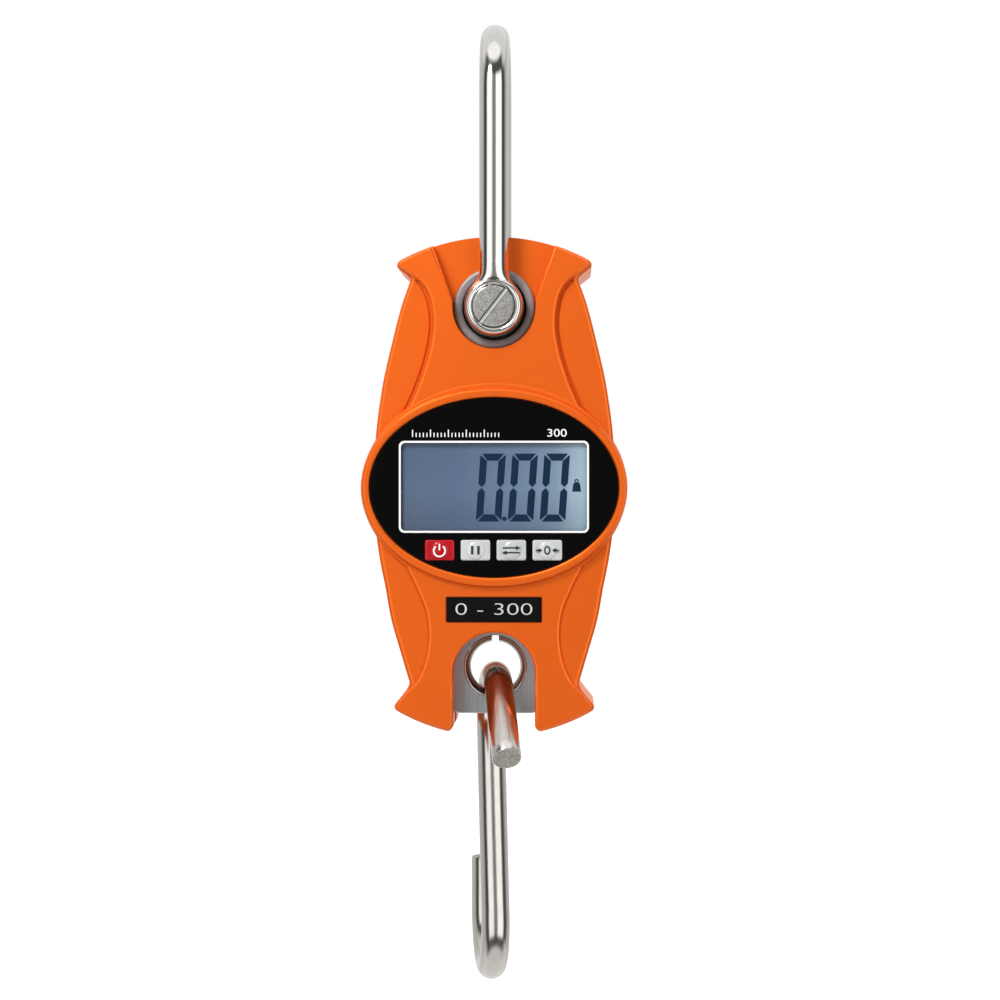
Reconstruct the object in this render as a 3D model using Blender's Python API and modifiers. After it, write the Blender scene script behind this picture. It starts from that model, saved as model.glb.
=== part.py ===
# Hanging digital scale: U-shackle above, orange two-part housing with a display, S-hook below.
# Metres, +Z up, the display faces -Y. The origin is the inside top of the shackle, where the
# scale hangs from. Sizes below are in millimetres; heights marked "level" count from a
# reference line across the display and are turned into Z by at_level().
import math

import bmesh
import bpy
from mathutils import Matrix, Vector

for old in list(bpy.data.objects):
    bpy.data.objects.remove(old)

MM = 0.001

# ---- driving dimensions (mm) --------------------------------------------------------------
HANG_LEVEL = 124.6          # inside top of the shackle above the reference line

PIN_LEVEL = 52.8            # shackle pin axis
PIN_R = 5.7
PIN_HALF_LENGTH = 19.8
SHACKLE_WIRE_R = 4.0
SHACKLE_HALF_SPAN = 16.0    # leg centre to middle plane
SHACKLE_EYE_R = 8.2
SHACKLE_EYE_WIDTH = 7.0
RUNNING_GAP = 0.08          # radial clearance of a turning fit

FRONT_WING_Y = -13.5        # lowered side areas of the front cover
FRONT_PANEL_Y = -15.3       # raised hourglass panel
BEZEL_Y = -17.0             # rim around the display
REAR_Y = 18.0
PARTING = 0.35              # each cover stops this far from the middle plane
RECESS_Y = 10.0             # floor of the shackle recesses, front (-) and rear (+)

DISPLAY_LEVEL = 3.4         # centre of the oval bezel
BEZEL_HALF = (36.5, 27.3)
PANEL_HALF = (34.0, 24.5)
WINDOW_SIZE = (50.0, 23.2)
WINDOW_LEVEL = 3.6
KEY_SIZE = (8.1, 5.6)
KEY_PITCH = 9.8
KEY_LEVEL = -13.7
KEY_NAMES = ("power_key", "hold_key", "unit_key", "tare_key")

CELL_HALF_WIDTH = 13.0      # load cell plate
CELL_HALF_THICKNESS = 4.0
CELL_TOP = 63.0
CELL_BOTTOM = -59.3
EYE_LEVEL = -46.4           # lower eye of the load cell
LINER_OUTER_R = 8.7
LINER_INNER_R = 6.9
LINER_ROUNDING = 8.0
ARCH_LEVEL = -47.6
ARCH_R = 11.2

HOOK_WIRE_R = 4.0
HOOK_TURN = math.radians(8.0)   # the hook's plane is turned this much about the vertical
BEND_R = 13.0
BEND_LEVEL = -62.0
LOOP_R = 14.0
LOOP_LEVEL = -118.5
FRONT_LIMB_ANGLE = math.radians(42.0)
FRONT_LIMB_LENGTH = 25.5
REAR_TIP_LEVEL = -103.6

BATTERY_R = 5.2
BATTERY_LENGTH = 43.3
BATTERY_PITCH = 11.6
BATTERY_Y = 10.7
TRAY_LEVELS = (-27.0, 25.0)
TRAY_HALF_WIDTH = 19.0

PCB_Y = (-7.3, -5.7)
COVER_SCREWS = [(18.0, 47.0), (-18.0, 47.0), (25.0, -25.5), (-25.0, -25.5), (18.0, -51.0), (-18.0, -51.0)]
PCB_SCREWS = [(-24.5, 19.2), (24.5, -15.5)]
CELL_SCREWS = [(8.5, 33.0), (-8.5, 33.0)]
DOOR_SCREW_LEVEL = -32.0


def at_level(level):
    """Z in metres of a height given from the reference line in mm."""
    return (level - HANG_LEVEL) * MM


# ---- collections and materials ------------------------------------------------------------
scene = bpy.context.scene
parts = bpy.data.collections.new("digital_fish_scale")
tools = bpy.data.collections.new("cutting_tools")
scene.collection.children.link(parts)
scene.collection.children.link(tools)


def material(name, colour, metallic=0.0, roughness=0.5, alpha=1.0):
    made = bpy.data.materials.new(name)
    made.use_nodes = True
    shader = made.node_tree.nodes["Principled BSDF"]
    shader.inputs["Base Color"].default_value = (*colour, 1.0)
    shader.inputs["Metallic"].default_value = metallic
    shader.inputs["Roughness"].default_value = roughness
    shader.inputs["Alpha"].default_value = alpha
    made.diffuse_color = (*colour, alpha)
    return made


ORANGE = material("orange_paint", (0.85, 0.17, 0.03), 0.3, 0.35)
STEEL = material("polished_steel", (0.62, 0.62, 0.63), 1.0, 0.18)
SATIN = material("satin_steel", (0.42, 0.42, 0.43), 1.0, 0.4)
ALUMINIUM = material("cell_aluminium", (0.5, 0.51, 0.52), 1.0, 0.35)
BLACK_GLOSS = material("black_gloss_plastic", (0.006, 0.006, 0.007), 0.0, 0.15)
BLACK_MATTE = material("black_matte_plastic", (0.015, 0.015, 0.016), 0.0, 0.6)
RUBBER = material("black_rubber", (0.012, 0.012, 0.012), 0.0, 0.8)
CLEAR = material("clear_window", (0.8, 0.86, 0.9), 0.0, 0.05, 0.35)
LCD = material("lcd_blue_grey", (0.18, 0.26, 0.36), 0.0, 0.2)
BACKLIGHT = material("backlight_white", (0.85, 0.87, 0.85), 0.0, 0.4)
RED_KEY = material("red_key_plastic", (0.58, 0.01, 0.02), 0.0, 0.3)
SILVER_KEY = material("silver_key_plastic", (0.62, 0.63, 0.64), 0.4, 0.3)
BOARD = material("green_board", (0.01, 0.14, 0.05), 0.0, 0.45)
CHIP = material("chip_epoxy", (0.02, 0.02, 0.02), 0.0, 0.5)
ZINC = material("zinc_screw", (0.45, 0.45, 0.44), 1.0, 0.35)
NICKEL = material("nickel_contact", (0.6, 0.59, 0.56), 1.0, 0.25)
FOIL = material("gauge_foil", (0.5, 0.3, 0.08), 0.3, 0.4)
WIRE_RED = material("red_wire", (0.5, 0.02, 0.02), 0.0, 0.5)
WIRE_BLACK = material("black_wire", (0.015, 0.015, 0.015), 0.0, 0.5)
WIRE_GREY = material("grey_cable", (0.2, 0.2, 0.2), 0.0, 0.5)
BATTERY_SLEEVE = material("battery_sleeve", (0.03, 0.1, 0.3), 0.1, 0.35)
LABEL_BLACK = material("label_black", (0.01, 0.01, 0.01), 0.0, 0.35)


# ---- outlines in the XZ plane, as (x, level) lists ----------------------------------------
def mirrored(half):
    """A closed outline from its right half, listed from top to bottom."""
    left = [(-x, z) for x, z in reversed(half) if x > 1e-6]
    return half + left


def arc(cx, cz, rx, rz, start, end, steps):
    """Points of an ellipse arc, angles in degrees from +X towards +Z."""
    points = []
    for i in range(steps + 1):
        a = math.radians(start + (end - start) * i / steps)
        points.append((cx + rx * math.cos(a), cz + rz * math.sin(a)))
    return points


def ellipse(cx, cz, rx, rz, steps=64):
    return arc(cx, cz, rx, rz, 0.0, 360.0, steps)[:-1]


def rounded_rect(cx, cz, width, height, radius, steps=4):
    w = width / 2 - radius
    h = height / 2 - radius
    points = arc(cx + w, cz + h, radius, radius, 0, 90, steps)
    points += arc(cx - w, cz + h, radius, radius, 90, 180, steps)
    points += arc(cx - w, cz - h, radius, radius, 180, 270, steps)
    points += arc(cx + w, cz - h, radius, radius, 270, 360, steps)
    return points


def rectangle(x0, x1, z0, z1):
    return [(x0, z0), (x1, z0), (x1, z1), (x0, z1)]


def inset(outline, distance):
    """The outline moved inwards along its corner normals. It runs clockwise seen from -Y."""
    moved = []
    count = len(outline)
    for i in range(count):
        before = Vector(outline[i - 1])
        here = Vector(outline[i])
        after = Vector(outline[(i + 1) % count])
        d1 = (here - before).normalized()
        d2 = (after - here).normalized()
        n1 = Vector((d1.y, -d1.x))
        n2 = Vector((d2.y, -d2.x))
        mean = (n1 + n2).normalized()
        reach = distance / max(mean.dot(n1), 0.5)
        moved.append((here.x + mean.x * reach, here.y + mean.y * reach))
    return moved


TOP_ARC = arc(0.0, 18.5, 54.0, 54.0, 90.0, 61.6, 10)
UPPER_FIN = [(26.3, 65.4), (26.7, 64.6), (26.5, 63.7), (25.6, 62.9), (24.2, 61.8), (23.3, 60.9)]
SIDE = [(23.2, 60.1), (24.2, 57.5), (25.3, 54.6), (26.7, 49.2), (28.0, 43.7), (29.3, 38.3), (30.5, 32.8)]
SIDE += [(31.4, 27.3), (32.1, 21.8), (32.9, 15.0), (33.2, 8.0), (33.2, 0.0), (32.7, -8.0), (31.6, -15.3)]
SIDE += [(30.7, -19.7), (29.9, -24.0), (28.3, -32.8), (25.8, -41.5), (23.6, -49.0)]
LOWER_FIN = [(23.1, -50.6), (25.0, -53.3), (26.9, -55.6), (27.4, -56.6), (27.1, -57.5), (26.4, -58.1)]
BOTTOM_ARC = arc(0.0, -11.0, 54.0, 54.0, -61.6, -90.0, 10)
HOUSING = mirrored(TOP_ARC + UPPER_FIN + SIDE + LOWER_FIN + BOTTOM_ARC)

# The raised panel keeps the top and bottom edges and narrows to a waist above and below the bezel.
WAIST = [(23.6, 61.0), (21.0, 59.6), (19.0, 57.7), (17.2, 54.8), (16.3, 51.8), (16.1, 46.4), (17.4, 40.1)]
WAIST += [(19.8, 32.6), (22.6, 25.9), (26.0, 20.0), (26.0, -12.0), (23.1, -18.8), (20.4, -24.8)]
WAIST += [(18.2, -30.0), (17.6, -36.3), (18.2, -42.3), (19.8, -47.2), (21.2, -49.4), (22.9, -50.9)]
PANEL_TOP = [(x * 0.994, z - 0.25) for x, z in TOP_ARC]
PANEL_TOP += [(26.0, 65.2), (26.4, 64.6), (26.2, 63.8), (25.3, 63.0)]
PANEL_BOTTOM = [(24.8, -53.5), (26.6, -55.7), (27.1, -56.6), (26.8, -57.3), (26.2, -57.9)]
PANEL_BOTTOM += [(x * 0.994, z + 0.25) for x, z in BOTTOM_ARC]
HOURGLASS = mirrored(PANEL_TOP + WAIST + PANEL_BOTTOM)

CAVITY = mirrored([
    (0.0, 39.5), (26.3, 39.5), (28.0, 32.0), (29.6, 22.0), (30.4, 10.0), (30.3, -4.0), (29.0, -15.0),
    (27.4, -24.0), (26.6, -28.0), (0.0, -28.0)])
TOP_CAVITY = mirrored([(0.0, 63.6), (18.5, 62.0), (20.6, 58.0), (23.0, 50.0), (25.6, 39.0), (0.0, 39.0)])
DEEP_POCKET = mirrored([(0.0, 27.4)] + arc(0.0, 3.4, 33.0, 24.0, 80.0, -25.0, 14)
                       + [(22.5, -12.0), (20.5, -18.0), (0.0, -18.0)])
RECESS_V = [(-11.5, 52.8), (-18.6, 74.5), (18.6, 74.5), (11.5, 52.8)]
ARCH = [(-ARCH_R, -70.0)] + arc(0.0, ARCH_LEVEL, ARCH_R, ARCH_R, 180.0, 0.0, 24) + [(ARCH_R, -70.0)]


# ---- solids -------------------------------------------------------------------------------
def place(name, mesh, surface, origin=(0.0, 0.0, 0.0), collection=None):
    """Puts a mesh in the scene; origin is in metres and the mesh is already local to it."""
    made = bpy.data.objects.new(name, mesh)
    made.location = origin
    if surface is not None:
        mesh.materials.append(surface)
    (collection or parts).objects.link(made)
    return made


def smooth(mesh, angle=35.0):
    mesh.polygons.foreach_set("use_smooth", [True] * len(mesh.polygons))
    mesh.set_sharp_from_angle(angle=math.radians(angle))


def prism_mesh(name, outline, y0, y1, origin=(0.0, 0.0, 0.0)):
    """An outline of (x, level) points drawn out from y0 to y1."""
    bm = bmesh.new()
    low, high = min(y0, y1), max(y0, y1)
    base = Vector(origin)
    ring = [bm.verts.new(Vector((x * MM, low * MM, at_level(z))) - base) for x, z in outline]
    face = bm.faces.new(ring)
    grown = bmesh.ops.extrude_face_region(bm, geom=[face])
    moved = [g for g in grown["geom"] if isinstance(g, bmesh.types.BMVert)]
    bmesh.ops.translate(bm, verts=moved, vec=(0.0, (high - low) * MM, 0.0))
    bmesh.ops.recalc_face_normals(bm, faces=bm.faces)
    mesh = bpy.data.meshes.new(name)
    bm.to_mesh(mesh)
    bm.free()
    return mesh


def prism(name, outline, y0, y1, surface=None, origin=(0.0, 0.0, 0.0), collection=None):
    return place(name, prism_mesh(name, outline, y0, y1, origin), surface, origin, collection)


def primitive(name, make, surface, origin, collection):
    """Places a primitive that make() adds to an empty bmesh."""
    bm = bmesh.new()
    make(bm)
    bmesh.ops.translate(bm, verts=bm.verts, vec=-Vector(origin))
    mesh = bpy.data.meshes.new(name)
    bm.to_mesh(mesh)
    bm.free()
    return place(name, mesh, surface, origin, collection)


def cylinder(name, x, level, radius, y0, y1, surface=None, origin=(0.0, 0.0, 0.0),
             collection=None, sides=32):
    """A round bar along Y."""
    middle = Matrix.Translation((x * MM, (y0 + y1) / 2 * MM, at_level(level)))
    along_y = Matrix.Rotation(math.radians(90.0), 4, "X")

    def make(bm):
        bmesh.ops.create_cone(bm, cap_ends=True, segments=sides, radius1=radius * MM, radius2=radius * MM,
                              depth=abs(y1 - y0) * MM, matrix=middle @ along_y)

    made = primitive(name, make, surface, origin, collection)
    if surface is not None:
        smooth(made.data)
    return made


def box(name, x_range, y_range, levels, surface=None, origin=(0.0, 0.0, 0.0), collection=None):
    size = Matrix.Diagonal(((x_range[1] - x_range[0]) * MM, (y_range[1] - y_range[0]) * MM,
                            (levels[1] - levels[0]) * MM, 1.0))
    middle = Matrix.Translation((sum(x_range) / 2 * MM, sum(y_range) / 2 * MM, at_level(sum(levels) / 2)))

    def make(bm):
        bmesh.ops.create_cube(bm, size=1.0, matrix=middle @ size)

    return primitive(name, make, surface, origin, collection)


def hide_tool(made):
    made.display_type = "WIRE"
    made.hide_render = True
    return made


def combine(target, other, operation):
    step = target.modifiers.new(operation.lower() + "_" + other.name, "BOOLEAN")
    step.operation = operation
    step.solver = "EXACT"
    step.object = other
    return step


def cut(target, other):
    combine(target, hide_tool(other), "DIFFERENCE")


def join(target, other):
    combine(target, hide_tool(other), "UNION")


def drill(target, name, x, level, radius, y0, y1, sides):
    """A round hole along Y."""
    cut(target, cylinder(name, x, level, radius, y0, y1, None, BODY_ORIGIN, tools, sides))


def add_boss(target, name, x, level, radius, y0, y1, sides):
    """A round boss along Y."""
    join(target, cylinder(name, x, level, radius, y0, y1, None, BODY_ORIGIN, tools, sides))


def soften(target, width, segments=2, angle=40.0):
    step = target.modifiers.new("edge_rounding", "BEVEL")
    step.width = width * MM
    step.segments = segments
    step.limit_method = "ANGLE"
    step.angle_limit = math.radians(angle)
    return step


def turned(name, profile, level, surface, sides=48, collection=None, x=0.0):
    """A ring turned about an axis along Y; profile is a closed (radius, y) loop in mm."""
    turn = sum(a[0] * b[1] - b[0] * a[1] for a, b in zip(profile, profile[1:] + profile[:1]))
    if turn < 0:
        profile = profile[::-1]
    mesh = bpy.data.meshes.new(name)
    verts = [(r * MM, 0.0, -y * MM) for r, y in profile]
    edges = [(i, (i + 1) % len(verts)) for i in range(len(verts))]
    mesh.from_pydata(verts, edges, [])
    made = place(name, mesh, surface, (x * MM, 0.0, at_level(level)), collection)
    made.rotation_euler = (math.radians(90.0), 0.0, 0.0)
    spin = made.modifiers.new("turn", "SCREW")
    spin.axis = "Z"
    spin.angle = math.radians(360.0)
    spin.steps = sides
    spin.render_steps = sides
    spin.use_merge_vertices = True
    spin.merge_threshold = 1e-6
    spin.use_smooth_shade = False
    return made


def wire(name, points, radius, surface, origin=(0.0, 0.0, 0.0), resolution=2, collection=None):
    """A round wire through (x, y, level) points in mm, with closed ends."""
    curve = bpy.data.curves.new(name, "CURVE")
    curve.dimensions = "3D"
    curve.bevel_depth = radius * MM
    curve.bevel_resolution = resolution
    curve.use_fill_caps = True
    line = curve.splines.new("POLY")
    line.points.add(len(points) - 1)
    base = Vector(origin)
    for point, (x, y, level) in zip(line.points, points):
        at = Vector((x * MM, y * MM, at_level(level))) - base
        point.co = (at.x, at.y, at.z, 1.0)
    if surface is not None:
        curve.materials.append(surface)
    made = bpy.data.objects.new(name, curve)
    made.location = origin
    (collection or parts).objects.link(made)
    return made


def solid_wire(made, surface):
    """Turns a wire into a closed mesh object of the same name, so that it can be cut and joined."""
    bpy.context.view_layer.update()
    graph = bpy.context.evaluated_depsgraph_get()
    mesh = bpy.data.meshes.new_from_object(made.evaluated_get(graph), depsgraph=graph)
    bm = bmesh.new()
    bm.from_mesh(mesh)
    bmesh.ops.remove_doubles(bm, verts=bm.verts, dist=1e-6)
    bmesh.ops.recalc_face_normals(bm, faces=bm.faces)
    bm.to_mesh(mesh)
    bm.free()
    mesh.materials.clear()
    name = made.name
    place_matrix = made.matrix_world.copy()
    bpy.data.objects.remove(made)
    solid = place(name, mesh, surface)
    solid.matrix_world = place_matrix
    smooth(mesh)
    return solid


PIN_ORIGIN = (0.0, 0.0, at_level(PIN_LEVEL))
BODY_ORIGIN = (0.0, 0.0, at_level(PIN_LEVEL))


# ---- shackle and pin ----------------------------------------------------------------------
def build_shackle():
    top = HANG_LEVEL + SHACKLE_WIRE_R - SHACKLE_HALF_SPAN
    bow = arc(0.0, top, SHACKLE_HALF_SPAN, SHACKLE_HALF_SPAN, 0.0, 180.0, 20)
    path = [(0.0, SHACKLE_HALF_SPAN, PIN_LEVEL + 4.0)]
    path += [(0.0, y, z) for y, z in bow]
    path += [(0.0, -SHACKLE_HALF_SPAN, PIN_LEVEL + 4.0)]
    shackle = solid_wire(wire("shackle_bow", path, SHACKLE_WIRE_R, None, PIN_ORIGIN, 4), STEEL)
    half = SHACKLE_EYE_WIDTH / 2
    for side, label in ((-1, "front"), (1, "rear")):
        y = side * SHACKLE_HALF_SPAN
        neck = mirrored([(0.0, 66.0), (3.6, 66.0), (4.1, 62.6), (5.0, 60.2), (6.6, 57.0), (0.0, 57.0)])
        flare = prism("shackle_neck_" + label, neck, y - 2.6, y + 2.6, None, PIN_ORIGIN, tools)
        soften(flare, 0.9)
        join(shackle, flare)
        eye = cylinder("shackle_eye_" + label, 0.0, PIN_LEVEL, SHACKLE_EYE_R, y - half, y + half,
                       None, PIN_ORIGIN, tools, 48)
        soften(eye, 0.8, 1)
        join(shackle, eye)
    drill(shackle, "shackle_pin_hole", 0.0, PIN_LEVEL, PIN_R + RUNNING_GAP, -30.0, 30.0, 48)

    pin = cylinder("shackle_pin", 0.0, PIN_LEVEL, PIN_R, -PIN_HALF_LENGTH, PIN_HALF_LENGTH,
                   STEEL, PIN_ORIGIN, None, 48)
    soften(pin, 0.35, 1)
    slot_mesh = prism_mesh("pin_slot", rectangle(-0.55, 0.55, PIN_LEVEL - 7.0, PIN_LEVEL + 7.0),
                           -22.0, -PIN_HALF_LENGTH + 1.4, PIN_ORIGIN)
    slot = place("pin_slot", slot_mesh, None, PIN_ORIGIN, tools)
    slot.rotation_euler = (0.0, math.radians(38.0), 0.0)
    cut(pin, slot)


# ---- housing ------------------------------------------------------------------------------
def cut_recess(cover, label, y0, y1):
    """The V-shaped hollow that lets a shackle leg swing, with a round foot about the pin."""
    cut(cover, prism(label + "_recess", RECESS_V, y0, y1, None, BODY_ORIGIN, tools))
    foot = ellipse(0.0, PIN_LEVEL, 11.6, 11.6, 48)
    cut(cover, prism(label + "_recess_foot", foot, y0, y1, None, BODY_ORIGIN, tools))


def build_front_cover():
    cover = prism("front_cover", HOUSING, -PARTING, FRONT_WING_Y, ORANGE, BODY_ORIGIN)
    soften(cover, 1.1)
    panel = prism("hourglass_panel", HOURGLASS, -11.5, FRONT_PANEL_Y, None, BODY_ORIGIN, tools)
    soften(panel, 0.8, 1)
    join(cover, panel)
    rim = ellipse(0.0, DISPLAY_LEVEL, *BEZEL_HALF, 56)
    bezel = prism("bezel_rim", rim, -5.5, BEZEL_Y, None, BODY_ORIGIN, tools)
    soften(bezel, 1.5, 2)
    join(cover, bezel)
    cut(cover, prism("front_cavity", CAVITY, 1.0, -10.8, None, BODY_ORIGIN, tools))
    cut(cover, prism("front_top_cavity", TOP_CAVITY, 1.0, -7.2, None, BODY_ORIGIN, tools))
    cut(cover, prism("front_deep_pocket", DEEP_POCKET, -10.0, -12.9, None, BODY_ORIGIN, tools))
    for i, (x, z) in enumerate(COVER_SCREWS[:4]):
        add_boss(cover, "front_boss_%d" % (i + 1), x, z, 2.8, -0.5, -11.2, 16)
    for i, (x, z) in enumerate(PCB_SCREWS):
        add_boss(cover, "board_boss_%d" % (i + 1), x, z, 2.0, -7.4, -13.3, 14)
    for i, (x, z) in enumerate(CELL_SCREWS):
        add_boss(cover, "cell_boss_%d" % (i + 1), x, z, 2.8, -4.6, -11.2, 16)
    slot = rectangle(-CELL_HALF_WIDTH - 0.35, CELL_HALF_WIDTH + 0.35, -70.0, CELL_TOP + 0.5)
    cut(cover, prism("front_cell_slot", slot, 1.0, -CELL_HALF_THICKNESS - 0.4, None, BODY_ORIGIN, tools))
    cut(cover, prism("front_arch", ARCH, 1.0, -20.0, None, BODY_ORIGIN, tools))
    cut_recess(cover, "front", -RECESS_Y, -20.0)
    drill(cover, "front_pin_opening", 0.0, PIN_LEVEL, 9.7, 1.0, -12.0, 48)
    pocket = ellipse(0.0, DISPLAY_LEVEL, PANEL_HALF[0] + 0.15, PANEL_HALF[1] + 0.15, 56)
    cut(cover, prism("panel_pocket", pocket, -14.6, -20.0, None, BODY_ORIGIN, tools))
    opening = rounded_rect(0.0, WINDOW_LEVEL, WINDOW_SIZE[0] - 1.4, WINDOW_SIZE[1] - 1.4, 1.0)
    cut(cover, prism("lcd_opening", opening, -12.0, -16.0, None, BODY_ORIGIN, tools))
    for name, x in zip(KEY_NAMES, key_positions()):
        hole = rounded_rect(x, KEY_LEVEL, KEY_SIZE[0] + 0.5, KEY_SIZE[1] + 0.5, 1.0)
        cut(cover, prism(name + "_cover_hole", hole, -12.0, -16.0, None, BODY_ORIGIN, tools))
    recess = rounded_rect(0.0, -30.0, 26.5, 7.3, 0.5, 2)
    cut(cover, prism("label_recess", recess, -15.0, -17.0, None, BODY_ORIGIN, tools))
    for i, (x, z) in enumerate(COVER_SCREWS):
        drill(cover, "front_screw_hole_%d" % (i + 1), x, z, 1.6, 1.0, -9.5, 12)
    for i, (x, z) in enumerate(PCB_SCREWS):
        drill(cover, "board_screw_hole_%d" % (i + 1), x, z, 1.15, -6.0, -12.0, 12)
    for i, (x, z) in enumerate(CELL_SCREWS):
        drill(cover, "cell_screw_hole_%d" % (i + 1), x, z, 1.6, -3.0, -10.0, 12)


def door_outline(grow):
    """The battery door: a rounded plate with a tab for its screw at the bottom."""
    w = 20.7 + grow
    low = -28.7 - grow
    top = 26.7 + grow
    tab = 6.0 + grow
    half = [(0.0, top), (w - 1.5, top), (w, top - 1.5), (w, low + 1.5), (w - 1.5, low), (tab + 1.5, low)]
    half += [(tab, low - 1.5), (tab, -35.5 - grow), (tab - 2.0, -37.0 - grow), (0.0, -37.0 - grow)]
    return mirrored(half)


def build_rear_cover():
    cover = prism("rear_cover", HOUSING, PARTING, REAR_Y, ORANGE, BODY_ORIGIN)
    soften(cover, 2.2, 2)
    cut(cover, prism("rear_cavity", CAVITY, -1.0, 14.6, None, BODY_ORIGIN, tools))
    cut(cover, prism("rear_top_cavity", TOP_CAVITY, -1.0, 7.2, None, BODY_ORIGIN, tools))
    for i, (x, z) in enumerate(COVER_SCREWS[:4]):
        add_boss(cover, "rear_boss_%d" % (i + 1), x, z, 2.8, 0.5, 15.0, 16)
    slot = rectangle(-CELL_HALF_WIDTH - 0.35, CELL_HALF_WIDTH + 0.35, -70.0, CELL_TOP + 0.5)
    cut(cover, prism("rear_cell_slot", slot, -1.0, CELL_HALF_THICKNESS + 0.4, None, BODY_ORIGIN, tools))
    cut(cover, prism("rear_arch", ARCH, -1.0, 20.0, None, BODY_ORIGIN, tools))
    cut_recess(cover, "rear", RECESS_Y, 20.0)
    drill(cover, "rear_pin_opening", 0.0, PIN_LEVEL, 9.7, -1.0, 12.0, 48)
    half = TRAY_HALF_WIDTH + 0.3
    opening = rectangle(-half, half, TRAY_LEVELS[0] - 0.3, TRAY_LEVELS[1] + 0.3)
    cut(cover, prism("tray_opening", opening, 10.0, 20.0, None, BODY_ORIGIN, tools))
    cut(cover, prism("door_recess", door_outline(0.9), 16.05, 20.0, None, BODY_ORIGIN, tools))
    drill(cover, "door_screw_hole", 0.0, DOOR_SCREW_LEVEL, 2.0, 11.0, 17.0, 20)
    for i, (x, z) in enumerate(COVER_SCREWS):
        drill(cover, "rear_screw_hole_%d" % (i + 1), x, z, 1.7, -1.0, 16.0, 12)
        drill(cover, "rear_head_hole_%d" % (i + 1), x, z, 3.1, 14.8, 20.0, 16)


def build_gasket():
    """A thin sheet between the two covers, open wherever they are open."""
    gasket = prism("cover_gasket", inset(HOUSING, 0.4), -0.3, 0.3, RUBBER, BODY_ORIGIN)
    cut(gasket, prism("gasket_cavity", CAVITY, -1.0, 1.0, None, BODY_ORIGIN, tools))
    cut(gasket, prism("gasket_top_cavity", TOP_CAVITY, -1.0, 1.0, None, BODY_ORIGIN, tools))
    slot = rectangle(-CELL_HALF_WIDTH - 0.35, CELL_HALF_WIDTH + 0.35, -70.0, CELL_TOP + 0.5)
    cut(gasket, prism("gasket_cell_slot", slot, -1.0, 1.0, None, BODY_ORIGIN, tools))
    for i, (x, z) in enumerate(COVER_SCREWS):
        drill(gasket, "gasket_hole_%d" % (i + 1), x, z, 1.8, -1.0, 1.0, 16)


def build_eye_trim():
    """Flanged rings in the two pin openings and rubber seals against the load cell."""
    for label, side in (("front", -1.0), ("rear", 1.0)):
        ring = [(9.2, side * 7.6), (9.6, side * 7.6), (9.6, side * 10.1), (11.1, side * 10.1),
                (11.1, side * 11.2), (10.8, side * 11.6), (9.5, side * 11.6), (9.2, side * 11.3)]
        turned("eye_ring_" + label, ring, PIN_LEVEL, SATIN, 40)
        seal = [(5.95, side * 4.1), (9.0, side * 4.1), (9.0, side * 7.0), (8.2, side * 7.6),
                (6.6, side * 7.6), (5.95, side * 7.0)]
        turned("pin_seal_" + label, seal, PIN_LEVEL, RUBBER, 32)


# ---- display, keys and electronics --------------------------------------------------------
def key_positions():
    return [KEY_PITCH * (i - 1.5) - 0.1 for i in range(4)]


def build_display():
    oval = ellipse(0.0, DISPLAY_LEVEL, *PANEL_HALF, 56)
    panel = prism("display_panel", oval, -16.3, -14.7, BLACK_GLOSS, BODY_ORIGIN)
    opening = rounded_rect(0.0, WINDOW_LEVEL, WINDOW_SIZE[0] + 0.3, WINDOW_SIZE[1] + 0.3, 1.6)
    cut(panel, prism("panel_opening", opening, -14.0, -17.0, None, BODY_ORIGIN, tools))
    for name, x in zip(KEY_NAMES, key_positions()):
        hole = rounded_rect(x, KEY_LEVEL, KEY_SIZE[0] + 0.4, KEY_SIZE[1] + 0.4, 0.9)
        cut(panel, prism(name + "_panel_hole", hole, -14.0, -17.0, None, BODY_ORIGIN, tools))
    window = rounded_rect(0.0, WINDOW_LEVEL, *WINDOW_SIZE, 1.5)
    prism("display_window", window, -16.2, -14.7, CLEAR, BODY_ORIGIN)
    prism("lcd_glass", rectangle(-26.4, 26.4, -8.9, 16.5), -12.7, -10.6, LCD, BODY_ORIGIN)
    prism("lcd_backlight", rectangle(-26.0, 26.0, -6.6, 16.3), -10.5, -8.2, BACKLIGHT, BODY_ORIGIN)
    prism("zebra_strip", rectangle(-24.0, 24.0, -8.7, -7.1), -10.5, -7.4, RUBBER, BODY_ORIGIN)


def build_key(name, x, surface):
    """A key cap with a flange behind the cover and a short stem towards its switch."""
    origin = (x * MM, -13.0 * MM, at_level(KEY_LEVEL))
    cap = prism(name, rounded_rect(x, KEY_LEVEL, *KEY_SIZE, 0.8, 3), -12.2, -17.2, surface, origin)
    soften(cap, 0.45, 1)
    flange = rounded_rect(x, KEY_LEVEL, KEY_SIZE[0] + 1.3, KEY_SIZE[1] + 1.0, 0.9)
    join(cap, prism(name + "_flange", flange, -11.7, -12.6, None, origin, tools))
    join(cap, cylinder(name + "_stem", x, KEY_LEVEL, 1.3, -11.2, -12.4, None, origin, tools, 16))


def build_switch(name, x):
    body = prism(name, rounded_rect(x, KEY_LEVEL, 5.8, 5.8, 0.5, 1), -7.4, -9.9, BLACK_MATTE, BODY_ORIGIN)
    add_boss(body, name + "_plunger", x, KEY_LEVEL, 1.6, -9.5, -10.6, 16)


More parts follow.
